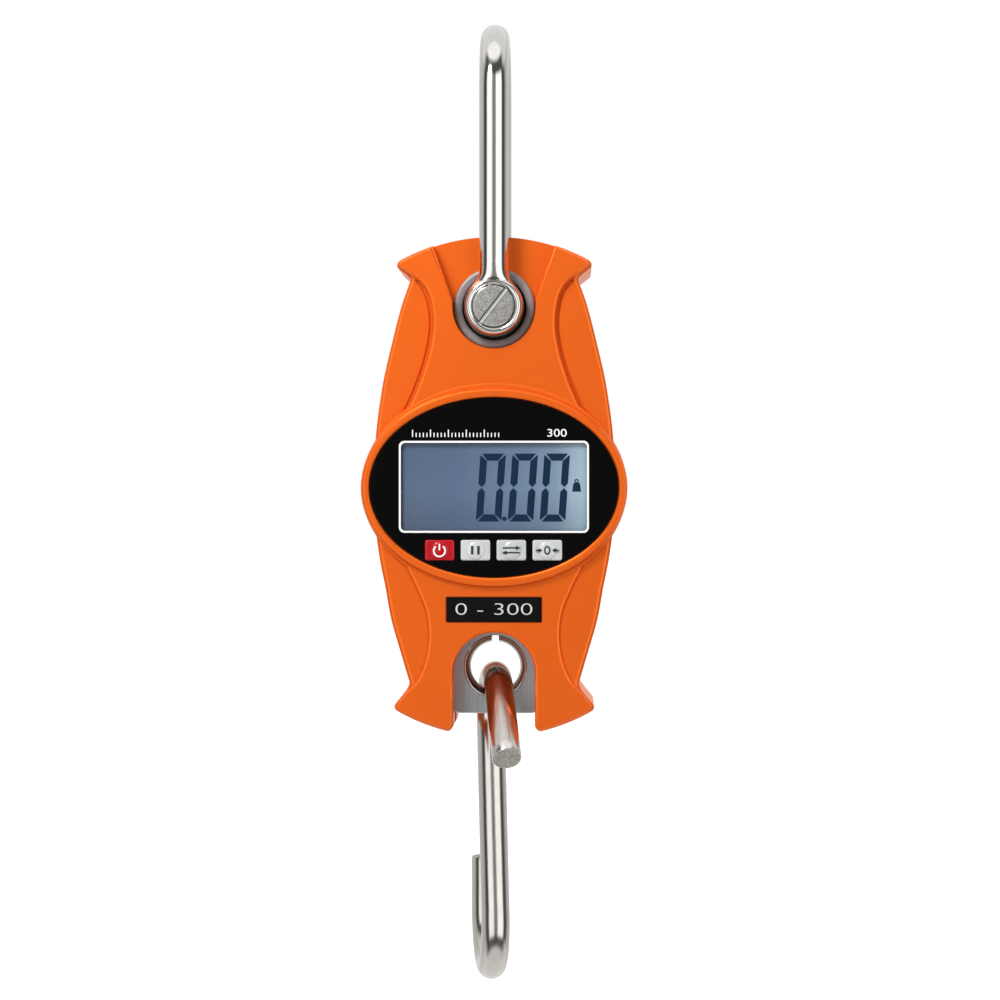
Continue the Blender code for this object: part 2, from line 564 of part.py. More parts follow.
def build_screw(name, x, level, head, shaft, surface, slot=True):
    """A pan-head screw along Y: head is (radius, y under, y top), shaft is (radius, y end)."""
    head_r, seat, top = head
    away = 1.0 if top > seat else -1.0
    origin = (x * MM, seat * MM, at_level(level))
    screw = cylinder(name, x, level, head_r, seat, top, surface, origin, None, 16)
    soften(screw, 0.3, 1)
    start = seat + 0.4 * away
    shank = cylinder(name + "_shank", x, level, shaft[0], start, shaft[1], None, origin, tools, 10)
    join(screw, shank)
    if slot:
        cross = prism(name + "_slot", rectangle(x - head_r * 0.62, x + head_r * 0.62, level - 0.35, level + 0.35),
                      top - 0.8 * away, top + 1.0 * away, None, origin, tools)
        cut(screw, cross)
        upright = prism(name + "_slot_2", rectangle(x - 0.35, x + 0.35, level - head_r * 0.62, level + head_r * 0.62),
                        top - 0.8 * away, top + 1.0 * away, None, origin, tools)
        cut(screw, upright)
    return screw


def build_electronics():
    outline = mirrored([(0.0, 21.4), (27.6, 21.4), (28.2, 16.0), (28.4, 4.0), (27.8, -8.0), (26.6, -19.0),
                        (0.0, -19.0)])
    board = prism("main_board", outline, PCB_Y[0], PCB_Y[1], BOARD, BODY_ORIGIN)
    for i, (x, z) in enumerate(PCB_SCREWS):
        drill(board, "board_hole_%d" % (i + 1), x, z, 1.2, -9.0, -4.0, 16)
        build_screw("board_screw_%d" % (i + 1), x, z, (2.0, -5.6, -4.3), (0.95, -11.0), ZINC)
    for i, x in enumerate(key_positions()):
        build_switch("key_switch_%d" % (i + 1), x)
    box("controller_chip", (-26.0, -16.0), (-5.6, -4.2), (-3.0, 7.0), CHIP, BODY_ORIGIN)
    box("converter_chip", (16.5, 21.5), (-5.6, -4.4), (-1.0, 3.0), CHIP, BODY_ORIGIN)
    buzzer = cylinder("buzzer", 21.0, 12.0, 4.6, -5.6, -1.2, CHIP, BODY_ORIGIN, None, 32)
    soften(buzzer, 0.3, 1)
    drill(buzzer, "buzzer_port", 21.0, 12.0, 0.9, -2.2, 0.0, 16)
    lead = [(5.6, -4.85, 0.0), (9.0, -4.85, -2.0), (12.5, -4.85, -4.0), (16.0, -4.85, -5.0), (20.0, -4.9, -4.0)]
    wire("gauge_cable", lead, 0.4, WIRE_GREY, BODY_ORIGIN, 1)


# ---- load cell ----------------------------------------------------------------------------
def build_load_cell():
    mid = (CELL_TOP + CELL_BOTTOM) / 2
    plate = rounded_rect(0.0, mid, CELL_HALF_WIDTH * 2, CELL_TOP - CELL_BOTTOM, 3.0)
    cell = prism("load_cell", plate, -CELL_HALF_THICKNESS, CELL_HALF_THICKNESS, ALUMINIUM, BODY_ORIGIN)
    soften(cell, 0.3, 1)
    drill(cell, "cell_pin_hole", 0.0, PIN_LEVEL, PIN_R + RUNNING_GAP, -6.0, 6.0, 48)
    drill(cell, "cell_eye", 0.0, EYE_LEVEL, LINER_OUTER_R + RUNNING_GAP, -6.0, 6.0, 48)
    for side, level in ((1.0, 8.0), (-1.0, -8.0)):
        label = "upper" if side > 0 else "lower"
        ends = sorted((side * 20.0, side * -5.0))
        cut(cell, prism("cell_slot_" + label, rectangle(ends[0], ends[1], level - 0.8, level + 0.8),
                        -6.0, 6.0, None, BODY_ORIGIN, tools))
        cut(cell, cylinder("cell_slot_end_" + label, side * -5.0, level, 2.2, -6.0, 6.0,
                           None, BODY_ORIGIN, tools, 24))
    for i, (x, z) in enumerate(CELL_SCREWS):
        drill(cell, "cell_fixing_%d" % (i + 1), x, z, 1.7, -6.0, 6.0, 20)
        build_screw("cell_screw_%d" % (i + 1), x, z, (2.7, 4.1, 6.0), (1.35, -9.0), ZINC)
    for label, y in (("front", (-4.25, -4.05)), ("rear", (4.05, 4.25))):
        prism("strain_gauge_" + label, rounded_rect(0.0, 0.0, 9.0, 6.0, 0.6, 1), y[0], y[1], FOIL, BODY_ORIGIN)


# ---- power --------------------------------------------------------------------------------
def build_battery_tray():
    low, high = TRAY_LEVELS
    w = TRAY_HALF_WIDTH
    tray = box("battery_tray", (-w, w), (4.75, 16.0), TRAY_LEVELS, BLACK_MATTE, BODY_ORIGIN)
    cut(tray, box("tray_hollow", (1 - w, w - 1), (5.35, 18.0), (low + 1, high - 1), None, BODY_ORIGIN, tools))
    for side, label in ((-1.0, "left"), (1.0, "right")):
        x = side * BATTERY_PITCH / 2
        join(tray, box("tray_divider_" + label, (x - 0.3, x + 0.3), (5.0, 9.0), (-20.0, 18.0), None, BODY_ORIGIN, tools))


def build_battery(name, x, up):
    """A round cell along Z with its raised terminal at the top (up = 1) or bottom (up = -1)."""
    middle = (TRAY_LEVELS[0] + TRAY_LEVELS[1]) / 2
    shift = 1.75 * up
    half = BATTERY_LENGTH / 2
    profile = [(0.0, half + 1.0), (1.8, half + 1.0), (1.9, half + 0.9), (1.9, half), (BATTERY_R - 0.5, half),
               (BATTERY_R, half - 0.4), (BATTERY_R, 0.4 - half), (BATTERY_R - 0.3, -half), (0.0, -half)]
    mesh = bpy.data.meshes.new(name)
    verts = [(r * MM, 0.0, z * up * MM) for r, z in profile]
    mesh.from_pydata(verts, [(i, i + 1) for i in range(len(verts) - 1)], [])
    cell = place(name, mesh, BATTERY_SLEEVE, (x * MM, BATTERY_Y * MM, at_level(middle + shift)))
    spin = cell.modifiers.new("turn", "SCREW")
    spin.axis = "Z"
    spin.angle = math.radians(360.0)
    spin.steps = 24
    spin.render_steps = 24
    spin.use_merge_vertices = True
    spin.merge_threshold = 1e-6
    spin.use_normal_calculate = True
    spin.use_smooth_shade = False


def build_spring(name, x, wall, towards):
    """A short conical coil between a tray end wall and a cell."""
    turns = 3.5
    steps = int(turns * 10)
    points = []
    for i in range(steps + 1):
        part = i / steps
        a = 2 * math.pi * turns * part
        radius = 3.2 - 1.2 * part
        up = wall + towards * (0.8 + 3.2 * part)
        points.append((x + radius * math.cos(a), BATTERY_Y + radius * math.sin(a), up))
    wire(name, points, 0.3, NICKEL, (0.0, 0.0, at_level(wall)), 0)


def build_contacts():
    low, high = TRAY_LEVELS[0] + 1.0, TRAY_LEVELS[1] - 1.0
    p = BATTERY_PITCH
    box("contact_positive", (-p - 4.0, -p + 4.0), (6.6, 14.6), (high - 0.4, high - 0.1), NICKEL)
    box("contact_link_upper", (-4.0, p + 4.0), (6.6, 14.6), (high - 0.4, high - 0.1), NICKEL)
    box("contact_link_lower", (-p - 4.0, 4.0), (6.6, 14.6), (low + 0.1, low + 0.4), NICKEL)
    box("contact_negative", (p - 4.0, p + 4.0), (6.6, 14.6), (low + 0.1, low + 0.4), NICKEL)
    build_spring("contact_spring_1", -p, low, 1.0)
    build_spring("contact_spring_2", 0.0, high, -1.0)
    build_spring("contact_spring_3", p, low, 1.0)
    red = [(-p, 8.0, 25.6), (-p - 0.6, 8.0, 27.6), (-16.0, 7.4, 28.6), (-21.0, 5.0, 27.6), (-24.0, 1.5, 23.0),
           (-24.4, -2.0, 17.0), (-24.4, -5.1, 13.0)]
    wire("battery_lead_red", red, 0.5, WIRE_RED, BODY_ORIGIN, 1)
    black = [(19.7, 8.0, -21.0), (21.4, 6.4, -20.4), (22.8, 3.0, -18.6), (23.4, -1.0, -14.0), (23.4, -5.1, -9.0)]
    wire("battery_lead_black", black, 0.5, WIRE_BLACK, BODY_ORIGIN, 1)


def build_door():
    hinge = (0.0, 17.2 * MM, at_level(26.4))
    door = prism("battery_door", door_outline(0.0), 16.25, REAR_Y, ORANGE, hinge)
    soften(door, 0.25, 1)
    for i in range(4):
        level = -14.0 - i * 3.0
        groove = rounded_rect(0.0, level, 16.0, 1.2, 0.55, 3)
        cut(door, prism("door_grip_%d" % (i + 1), groove, 17.5, 19.0, None, hinge, tools))
    cut(door, cylinder("door_screw_seat", 0.0, DOOR_SCREW_LEVEL, 3.1, 17.0, 20.0, None, hinge, tools, 28))
    cut(door, cylinder("door_screw_way", 0.0, DOOR_SCREW_LEVEL, 1.75, 15.0, 20.0, None, hinge, tools, 20))
    screw = build_screw("battery_door_screw", 0.0, DOOR_SCREW_LEVEL, (2.8, 17.1, 17.9), (1.4, 13.4), ZINC, False)
    slot = rectangle(-2.0, 2.0, DOOR_SCREW_LEVEL - 0.4, DOOR_SCREW_LEVEL + 0.4)
    cut(screw, prism("door_screw_slot", slot, 17.4, 19.0, None, screw.location.copy(), tools))


# ---- hook ---------------------------------------------------------------------------------
def build_liner():
    """A split ring that lets the hook ride on a rounded throat in the load cell's lower eye."""
    profile = []
    for i in range(9):
        y = -4.4 + 8.8 * i / 8
        profile.append((LINER_INNER_R + LINER_ROUNDING - math.sqrt(LINER_ROUNDING ** 2 - y * y), y))
    profile += [(LINER_OUTER_R, 4.4), (LINER_OUTER_R, -4.4)]
    liner = turned("hook_liner", profile, EYE_LEVEL, STEEL, 48)
    levels = (EYE_LEVEL + 4.0, EYE_LEVEL + 12.0)
    cut(liner, box("liner_gap", (-1.0, 1.0), (-6.0, 6.0), levels, None, (0.0, 0.0, 0.0), tools))


def hook_path():
    """Centre line of the S-hook as (u, level): front tip, upper bend, shank, lower bend, rear tip."""
    away = Vector((LOOP_R, LOOP_LEVEL - BEND_LEVEL))
    lean = math.asin((BEND_R + LOOP_R) / away.length) - math.atan2(LOOP_R, BEND_LEVEL - LOOP_LEVEL)
    start = -FRONT_LIMB_ANGLE
    end = math.pi / 2 + lean
    bend = []
    for i in range(21):
        a = start + (end - start) * i / 20
        bend.append((BEND_R * math.sin(a), BEND_LEVEL + BEND_R * math.cos(a)))
    tip = (bend[0][0] - FRONT_LIMB_LENGTH * math.cos(start), bend[0][1] + FRONT_LIMB_LENGTH * math.sin(start))
    loop = []
    first = math.pi - lean
    for i in range(23):
        a = first + (2 * math.pi - first) * i / 22
        loop.append((LOOP_R + LOOP_R * math.cos(a), LOOP_LEVEL + LOOP_R * math.sin(a)))
    path = [tip]
    path += bend
    path += loop
    path.append((2 * LOOP_R, REAR_TIP_LEVEL))
    return path


def build_hook():
    origin = (0.0, 0.0, at_level(BEND_LEVEL))
    points = [(0.0, u, level) for u, level in hook_path()]
    hook = wire("s_hook", points, HOOK_WIRE_R, STEEL, origin, 4)
    hook.rotation_euler = (0.0, 0.0, HOOK_TURN)


build_shackle()
build_front_cover()
build_rear_cover()
build_gasket()
build_eye_trim()
build_display()
for key_name, key_x in zip(KEY_NAMES, key_positions()):
    build_key(key_name, key_x, RED_KEY if key_name == "power_key" else SILVER_KEY)
build_electronics()
label_outline = rounded_rect(0.0, -30.0, 26.1, 6.9, 0.4, 2)
prism("capacity_label", label_outline, -15.05, -15.35, LABEL_BLACK, BODY_ORIGIN)
for n, (screw_x, screw_level) in enumerate(COVER_SCREWS):
    build_screw("cover_screw_%d" % (n + 1), screw_x, screw_level, (2.7, 14.9, 16.7), (1.35, -8.5), ZINC)
build_load_cell()
build_battery_tray()
for n in range(3):
    build_battery("battery_%d" % (n + 1), BATTERY_PITCH * (n - 1), 1.0 if n != 1 else -1.0)
build_contacts()
build_door()
build_liner()
build_hook()
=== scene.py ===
"""Looks of the hanging digital scale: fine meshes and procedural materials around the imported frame.

Sizes are in millimetres and turned into metres by MM. A "level" is a height above the reference
line that crosses the display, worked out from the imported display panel.
"""
import math

import bmesh
import bpy
from mathutils import Matrix, Vector


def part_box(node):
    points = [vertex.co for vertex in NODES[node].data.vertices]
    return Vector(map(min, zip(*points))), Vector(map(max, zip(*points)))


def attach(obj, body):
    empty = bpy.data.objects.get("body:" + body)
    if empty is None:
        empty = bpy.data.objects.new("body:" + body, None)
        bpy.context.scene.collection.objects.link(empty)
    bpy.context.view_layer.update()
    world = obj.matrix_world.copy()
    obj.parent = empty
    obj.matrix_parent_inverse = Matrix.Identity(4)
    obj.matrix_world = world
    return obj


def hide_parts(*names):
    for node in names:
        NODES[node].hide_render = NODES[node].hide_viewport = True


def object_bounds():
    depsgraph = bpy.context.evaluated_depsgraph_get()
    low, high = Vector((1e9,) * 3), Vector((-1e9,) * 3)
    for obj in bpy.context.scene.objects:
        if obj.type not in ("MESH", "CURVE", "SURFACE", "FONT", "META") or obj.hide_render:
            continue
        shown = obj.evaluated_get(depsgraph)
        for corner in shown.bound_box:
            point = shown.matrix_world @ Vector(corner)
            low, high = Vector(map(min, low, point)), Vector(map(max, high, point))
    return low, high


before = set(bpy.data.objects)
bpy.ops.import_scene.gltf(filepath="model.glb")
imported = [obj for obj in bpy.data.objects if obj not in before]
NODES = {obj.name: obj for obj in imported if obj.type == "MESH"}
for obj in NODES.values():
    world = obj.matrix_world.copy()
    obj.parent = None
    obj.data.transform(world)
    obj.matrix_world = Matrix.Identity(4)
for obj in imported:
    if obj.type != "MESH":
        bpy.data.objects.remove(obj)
cad_low, cad_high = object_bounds()
MM = 0.001

# ---- places read from the frame ----


def node_middle(name):
    low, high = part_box(name)
    return (Vector(low) + Vector(high)) / 2


PANEL_LEVEL = 3.4           # the display panel's centre above the reference line
REFERENCE_Z = node_middle("display_panel").z - PANEL_LEVEL * MM
PIN_LEVEL = (node_middle("shackle_pin").z - REFERENCE_Z) / MM
EYE_LEVEL = 52.8 - 99.2     # lower eye of the load cell
KEYS = ("power_key", "hold_key", "unit_key", "tare_key")
KEY_X = [node_middle(name).x / MM for name in KEYS]
KEY_LEVEL = -13.7


def z_at(level):
    return REFERENCE_Z + level * MM


# ---- outlines in the XZ plane, as (x, level) lists in mm ----
def arc(cx, cz, rx, rz, start, end, steps):
    """Points of an ellipse arc, angles in degrees from +X towards +Z."""
    points = []
    for i in range(steps + 1):
        a = math.radians(start + (end - start) * i / steps)
        points.append((cx + rx * math.cos(a), cz + rz * math.sin(a)))
    return points


def ellipse(cx, cz, rx, rz, steps=128):
    return arc(cx, cz, rx, rz, 0.0, 360.0, steps)[:-1]


def circle(cx, cz, radius, steps):
    return ellipse(cx, cz, radius, radius, steps)


def straight(start, end, count):
    """Evenly spaced points from start towards end, without end itself."""
    reach = (end[0] - start[0], end[1] - start[1])
    return [(start[0] + reach[0] * i / count, start[1] + reach[1] * i / count)
            for i in range(count)]


def rounded_rect(cx, cz, width, height, radius, steps=6):
    w = width / 2 - radius
    h = height / 2 - radius
    points = arc(cx + w, cz + h, radius, radius, 0, 90, steps)
    points += arc(cx - w, cz + h, radius, radius, 90, 180, steps)
    points += arc(cx - w, cz - h, radius, radius, 180, 270, steps)
    points += arc(cx + w, cz - h, radius, radius, 270, 360, steps)
    return points


def rectangle(x0, x1, z0, z1):
    return [(x0, z0), (x1, z0), (x1, z1), (x0, z1)]


def mirrored(half):
    """A closed outline from its right half, listed from top to bottom."""
    return half + [(-x, z) for x, z in reversed(half) if x > 1e-6]


def spline(points, per=5):
    """A smooth open curve through the points (Catmull-Rom)."""
    ends = [points[0]] + points + [points[-1]]
    smooth_points = []
    for i in range(1, len(ends) - 2):
        p0, p1, p2, p3 = (Vector(p) for p in ends[i - 1:i + 3])
        for k in range(per):
            t = k / per
            a = 2 * p1 + (p2 - p0) * t
            b = (2 * p0 - 5 * p1 + 4 * p2 - p3) * t * t
            c = (3 * p1 - p0 - 3 * p2 + p3) * t * t * t
            smooth_points.append(tuple((a + b + c) / 2))
    smooth_points.append(tuple(points[-1]))
    return smooth_points


TOP_ARC = arc(0.0, 18.5, 54.0, 54.0, 90.0, 61.6, 20)
BOTTOM_ARC = arc(0.0, -11.0, 54.0, 54.0, -61.0, -90.0, 20)
EDGE = [
    (25.68, 66.0), (26.3, 65.5), (26.7, 64.7), (26.55, 63.8), (25.6, 62.9), (24.2, 61.8), (23.3, 60.9),
    (23.2, 60.0), (24.2, 57.2), (25.3, 54.0), (26.7, 49.0), (28.0, 43.7), (29.3, 38.3), (30.5, 32.8),
    (31.4, 27.3), (32.2, 21.5), (32.8, 15.0), (33.1, 8.0), (33.1, 0.0), (32.6, -8.0), (31.6, -15.3),
    (30.8, -19.7), (29.9, -24.0), (28.3, -32.8), (25.8, -41.5), (23.7, -48.6), (23.3, -50.0),
    (23.8, -51.6), (25.2, -53.5), (26.9, -55.6), (27.4, -56.5), (27.15, -57.5), (26.18, -58.23)]
HOUSING = mirrored(TOP_ARC[:-1] + spline(EDGE) + BOTTOM_ARC[1:])

PANEL_INSET = 0.3
PANEL_SHRINK = 0.993
PANEL_TOP = [(x * PANEL_SHRINK, z - PANEL_INSET) for x, z in TOP_ARC]
PANEL_EDGE = [
    (25.5, 65.6), (26.05, 65.1), (26.35, 64.5), (26.1, 63.8), (25.3, 63.1), (23.8, 62.0), (22.0, 60.6),
    (20.3, 58.6), (18.8, 55.8), (17.9, 51.5), (17.8, 46.6), (18.9, 40.3), (21.2, 33.0), (24.0, 26.4),
    (27.2, 20.4), (29.6, 12.0), (29.6, -5.0), (27.0, -14.0), (24.6, -19.6), (21.8, -25.4),
    (19.7, -30.8), (19.0, -36.4), (19.5, -42.0), (20.9, -46.6), (22.9, -50.3), (24.9, -53.4),
    (26.6, -55.7), (27.05, -56.5), (26.85, -57.3), (26.0, -57.9)]
PANEL_BOTTOM = [(x * PANEL_SHRINK, z + PANEL_INSET) for x, z in BOTTOM_ARC]
HOURGLASS = mirrored(PANEL_TOP[:-1] + spline(PANEL_EDGE) + PANEL_BOTTOM[1:])

CAVITY = mirrored([
    (0.0, 39.5), (26.3, 39.5), (28.0, 32.0), (29.6, 22.0), (30.4, 10.0), (30.3, -4.0), (29.0, -15.0),
    (27.4, -24.0), (26.6, -28.0), (0.0, -28.0)])
TOP_CAVITY = mirrored([(0.0, 63.6), (18.5, 62.0), (20.6, 58.0), (23.0, 50.0), (25.6, 39.0), (0.0, 39.0)])
ARCH = [(-13.4, -70.0)] + arc(-13.4, -61.5, 2.2, 2.0, -90.0, 0.0, 10)
ARCH += arc(0.0, -47.6, 11.2, 11.2, 180.0, 0.0, 48)
ARCH += arc(13.4, -61.5, 2.2, 2.0, 180.0, 270.0, 10) + [(13.4, -70.0)]


# ---- solids ----
pieces = bpy.data.collections.new("visible_pieces")
bpy.context.scene.collection.children.link(pieces)


def new_object(name, mesh):
    made = bpy.data.objects.new(name, mesh)
    pieces.objects.link(made)
    return made


def mesh_from(bm, name):
    bmesh.ops.recalc_face_normals(bm, faces=bm.faces)
    mesh = bpy.data.meshes.new(name)
    bm.to_mesh(mesh)
    bm.free()
    return mesh


def skin(bm, rings):
    """Joins equal rings of vertices into a closed solid with a cap on each end."""
    count = len(rings[0])
    for first, second in zip(rings, rings[1:]):
        for i in range(count):
            k = (i + 1) % count
            bm.faces.new((first[i], first[k], second[k], second[i]))
    bm.faces.new(rings[0])
    bm.faces.new(rings[-1])


def skinned(name, rings):
    """A solid through rings of (x, y, level) points in mm."""
    bm = bmesh.new()
    skin(bm, [[bm.verts.new((x * MM, y * MM, z_at(z))) for x, y, z in ring] for ring in rings])
    bmesh.ops.remove_doubles(bm, verts=bm.verts, dist=2e-7)
    return new_object(name, mesh_from(bm, name))


def corner_normals(outline):
    """Inward unit steps of a clockwise outline, lengthened at corners."""
    steps = []
    count = len(outline)
    for i in range(count):
        here = Vector(outline[i])
        d1 = (here - Vector(outline[i - 1])).normalized()
        d2 = (Vector(outline[(i + 1) % count]) - here).normalized()
        n1 = Vector((d1.y, -d1.x))
        n2 = Vector((d2.y, -d2.x))
        mean = (n1 + n2).normalized()
        steps.append(mean / max(mean.dot(n1), 0.6))
    return steps


def area(outline):
    return sum(a[0] * b[1] - b[0] * a[1] for a, b in zip(outline, outline[1:] + outline[:1])) / 2


def moved(outline, inset, shares):
    """The outline moved inward by inset in small steps; edges that shrink away close up."""
    points = [Vector(p) for p in outline]
    groups = [[i] for i in range(len(points))]
    weights = list(shares)
    count = max(1, math.ceil(abs(inset) / 0.1))
    for _ in range(count):
        steps = corner_normals(points)
        ahead = [p + step * (inset / count) * share for p, step, share in zip(points, steps, weights)]
        next_points, next_groups, next_weights = [], [], []
        for i, point in enumerate(ahead):
            if i and (point - ahead[i - 1]).dot(points[i] - points[i - 1]) <= 0.0:
                next_points[-1] = (next_points[-1] + point) / 2
                next_groups[-1] = next_groups[-1] + groups[i]
            else:
                next_points.append(point)
                next_groups.append(groups[i])
                next_weights.append(weights[i])
        points, groups, weights = next_points, next_groups, next_weights
    placed = [None] * len(outline)
    for point, group in zip(points, groups):
        for i in group:
            placed[i] = point
    return placed


def loft(name, outline, profile, scale=None):
    """A solid from rings of an outline: profile lists (inset, y) in mm from cap to cap.

    scale maps a point (x, level) to the share of the inset that it takes.
    """
    if area(outline) > 0:
        outline = outline[::-1]
    shares = [scale(x, z) if scale else 1.0 for x, z in outline]
    return skinned(name, [[(p.x, y, p.y) for p in moved(outline, inset, shares)] for inset, y in profile])


def prism(name, outline, y0, y1):
    return loft(name, outline, [(0.0, y0), (0.0, y1)])


def rounding(y_from, y_face, radius, steps=5):
    """Profile points of a rounded edge that ends on the face at y_face."""
    side = 1.0 if y_face > y_from else -1.0
    points = []
    for i in range(steps + 1):
        a = math.pi / 2 * i / steps
        points.append((radius * (1 - math.cos(a)), y_face - side * radius * (1 - math.sin(a))))
    return points


def soft_plate(name, outline, y_back, y_front, radius, back_radius=0.15, steps=5, scale=None):
    """A plate with a rounded front edge and a small break on its back edge."""
    side = 1.0 if y_front > y_back else -1.0
    profile = [(back_radius, y_back), (0.0, y_back + side * back_radius)]
    profile += rounding(y_back, y_front, radius, steps)
    return loft(name, outline, profile, scale)


def lathe(name, profile, level, steps=96, x=0.0, closed=True):
    """A solid turned about an axis along Y; profile lists (radius, y) in mm.

    A closed profile makes a ring; an open one starts and ends on the axis.
    """
    bm = bmesh.new()
    rings = []
    for r, y in profile:
        if r < 1e-6:
            rings.append([bm.verts.new((x * MM, y * MM, z_at(level)))])
            continue
        ring = []
        for i in range(steps):
            a = 2 * math.pi * i / steps
            place = ((x + r * math.cos(a)) * MM, y * MM, z_at(level + r * math.sin(a)))
            ring.append(bm.verts.new(place))
        rings.append(ring)
    pairs = list(zip(rings, rings[1:]))
    if closed:
        pairs.append((rings[-1], rings[0]))
    for first, second in pairs:
        for i in range(steps):
            k = (i + 1) % steps
            if len(first) == 1:
                bm.faces.new((first[0], second[k], second[i]))
            elif len(second) == 1:
                bm.faces.new((first[i], first[k], second[0]))
            else:
                bm.faces.new((first[i], first[k], second[k], second[i]))
    return new_object(name, mesh_from(bm, name))


def tube(name, path, radius, turn=0.0, sides=48, ends=((0.0, 0.1), (0.0, 0.1))):
    """A round bar along a path of (u, level) points in a vertical plane turned about Z.

    ends gives, for each end, how far its face bulges and how wide its broken edge is.
    """
    bm = bmesh.new()
    across = Vector((math.cos(turn), math.sin(turn), 0.0))
    along = Vector((-math.sin(turn), math.cos(turn), 0.0))
    points = [along * (u * MM) + Vector((0.0, 0.0, z_at(level))) for u, level in path]
    rings = []
    last = len(points) - 1

    def ring_at(centre, direction, r):
        up = direction.cross(across).normalized()
        ring = []
        for i in range(sides):
            a = 2 * math.pi * i / sides
            ring.append(bm.verts.new(centre + (across * math.cos(a) + up * math.sin(a)) * r))
        return ring

    for index, point in enumerate(points):
        ahead = points[min(index + 1, last)] - points[max(index - 1, 0)]
        direction = ahead.normalized()
        if index in (0, last):
            bulge, broken = ends[0] if index == 0 else ends[1]
            outward = -direction if index == 0 else direction
            rise = broken * 0.75
            face = [(radius, 0.0), (radius - broken * 0.3, broken * 0.55), (radius - broken, rise)]
            face += [(radius * k, rise + bulge * (1 - k)) for k in (0.7, 0.45, 0.2)]
            cap = [ring_at(point + outward * (out - rise) * MM, direction, r * MM) for r, out in face]
            rings.extend(reversed(cap) if index == 0 else cap)
        else:
            rings.append(ring_at(point, direction, radius * MM))
    skin(bm, rings)
    return new_object(name, mesh_from(bm, name))


def combine(target, other, operation):
    step = target.modifiers.new(operation.lower(), "BOOLEAN")
    step.operation = operation
    step.solver = "EXACT"
    step.object = other
    graph = bpy.context.evaluated_depsgraph_get()
    mesh = bpy.data.meshes.new_from_object(target.evaluated_get(graph), depsgraph=graph)
    target.modifiers.clear()
    old = target.data
    target.data = mesh
    bpy.data.meshes.remove(old)
    bpy.data.objects.remove(other)


def cut(target, other):
    combine(target, other, "DIFFERENCE")


def join(target, other):
    combine(target, other, "UNION")


def bore(target, name, outline, y0, y1):
    """Cuts a straight opening with the given outline from y0 to y1."""
    cut(target, prism(name, outline, y0, y1))


def shade(made, angle=28.0, weighted=True):
    """Smooth faces with crisp edges, and normals that keep flat faces flat."""
    mesh = made.data
    mesh.polygons.foreach_set("use_smooth", [True] * len(mesh.polygons))
    mesh.set_sharp_from_angle(angle=math.radians(angle))
    if weighted:
        step = made.modifiers.new("even_normals", "WEIGHTED_NORMAL")
        step.keep_sharp = True
    return made


PRINT_THICKNESS = 0.03


def lettering(name, text, size, x, level, y, width, thinner=0.0):
    """Raised print that faces -Y, centred on (x, level); width stretches the letters sideways."""
    curve = bpy.data.curves.new(name, "FONT")
    curve.body = text
    curve.size = size * MM
    curve.extrude = PRINT_THICKNESS / 2 * MM
    curve.offset = thinner * MM
    curve.align_x = "CENTER"
    curve.align_y = "CENTER"
    flat = bpy.data.objects.new(name + "_text", curve)
    bpy.context.scene.collection.objects.link(flat)
    graph = bpy.context.evaluated_depsgraph_get()
    mesh = bpy.data.meshes.new_from_object(flat.evaluated_get(graph), depsgraph=graph)
    bpy.data.objects.remove(flat)
    place = Matrix.Translation((x * MM, y * MM, z_at(level)))
    upright = Matrix.Rotation(math.radians(90.0), 4, "X")
    mesh.transform(place @ upright @ Matrix.Diagonal((width, 1.0, 1.0, 1.0)))
    return new_object(name, mesh)


def merge(name, parts):
    """Several separate prints as one object."""
    bm = bmesh.new()
    for part in parts:
        bm.from_mesh(part.data)
        bpy.data.objects.remove(part)
    return new_object(name, mesh_from(bm, name))


# ---- materials ----
class Nodes:
    """A short way to write a node tree."""

    def __init__(self, tree):
        self.tree = tree

    def node(self, kind, inputs=None, **settings):
        made = self.tree.nodes.new(kind)
        for key, value in settings.items():
            setattr(made, key, value)
        for key, value in (inputs or {}).items():
            made.inputs[key].default_value = value
        return made

    def link(self, source, target):
        self.tree.links.new(source, target)

    def ramp(self, value, stops):
        made = self.node("ShaderNodeValToRGB")
        while len(made.color_ramp.elements) < len(stops):
            made.color_ramp.elements.new(0.5)
        for element, (at, colour) in zip(made.color_ramp.elements, stops):
            element.position = at
            element.color = (*colour, 1.0)
        self.link(value, made.inputs["Fac"])
        return made.outputs["Color"]

    def span(self, value, low, high):
        """Where a value lies between low and high, from 0 to 1."""
        made = self.node("ShaderNodeMapRange", {"From Min": low, "From Max": high})
        self.link(value, made.inputs["Value"])
        return made.outputs["Result"]

    def mix(self, share, first, second, blend_type="MIX"):
        """Two colours mixed; each input is a value or another node's output."""
        made = self.node("ShaderNodeMix", data_type="RGBA", blend_type=blend_type)
        for socket, value in ((0, share), (6, first), (7, second)):
            if isinstance(value, (float, tuple)):
                made.inputs[socket].default_value = value
            else:
                self.link(value, made.inputs[socket])
        return made.outputs[2]


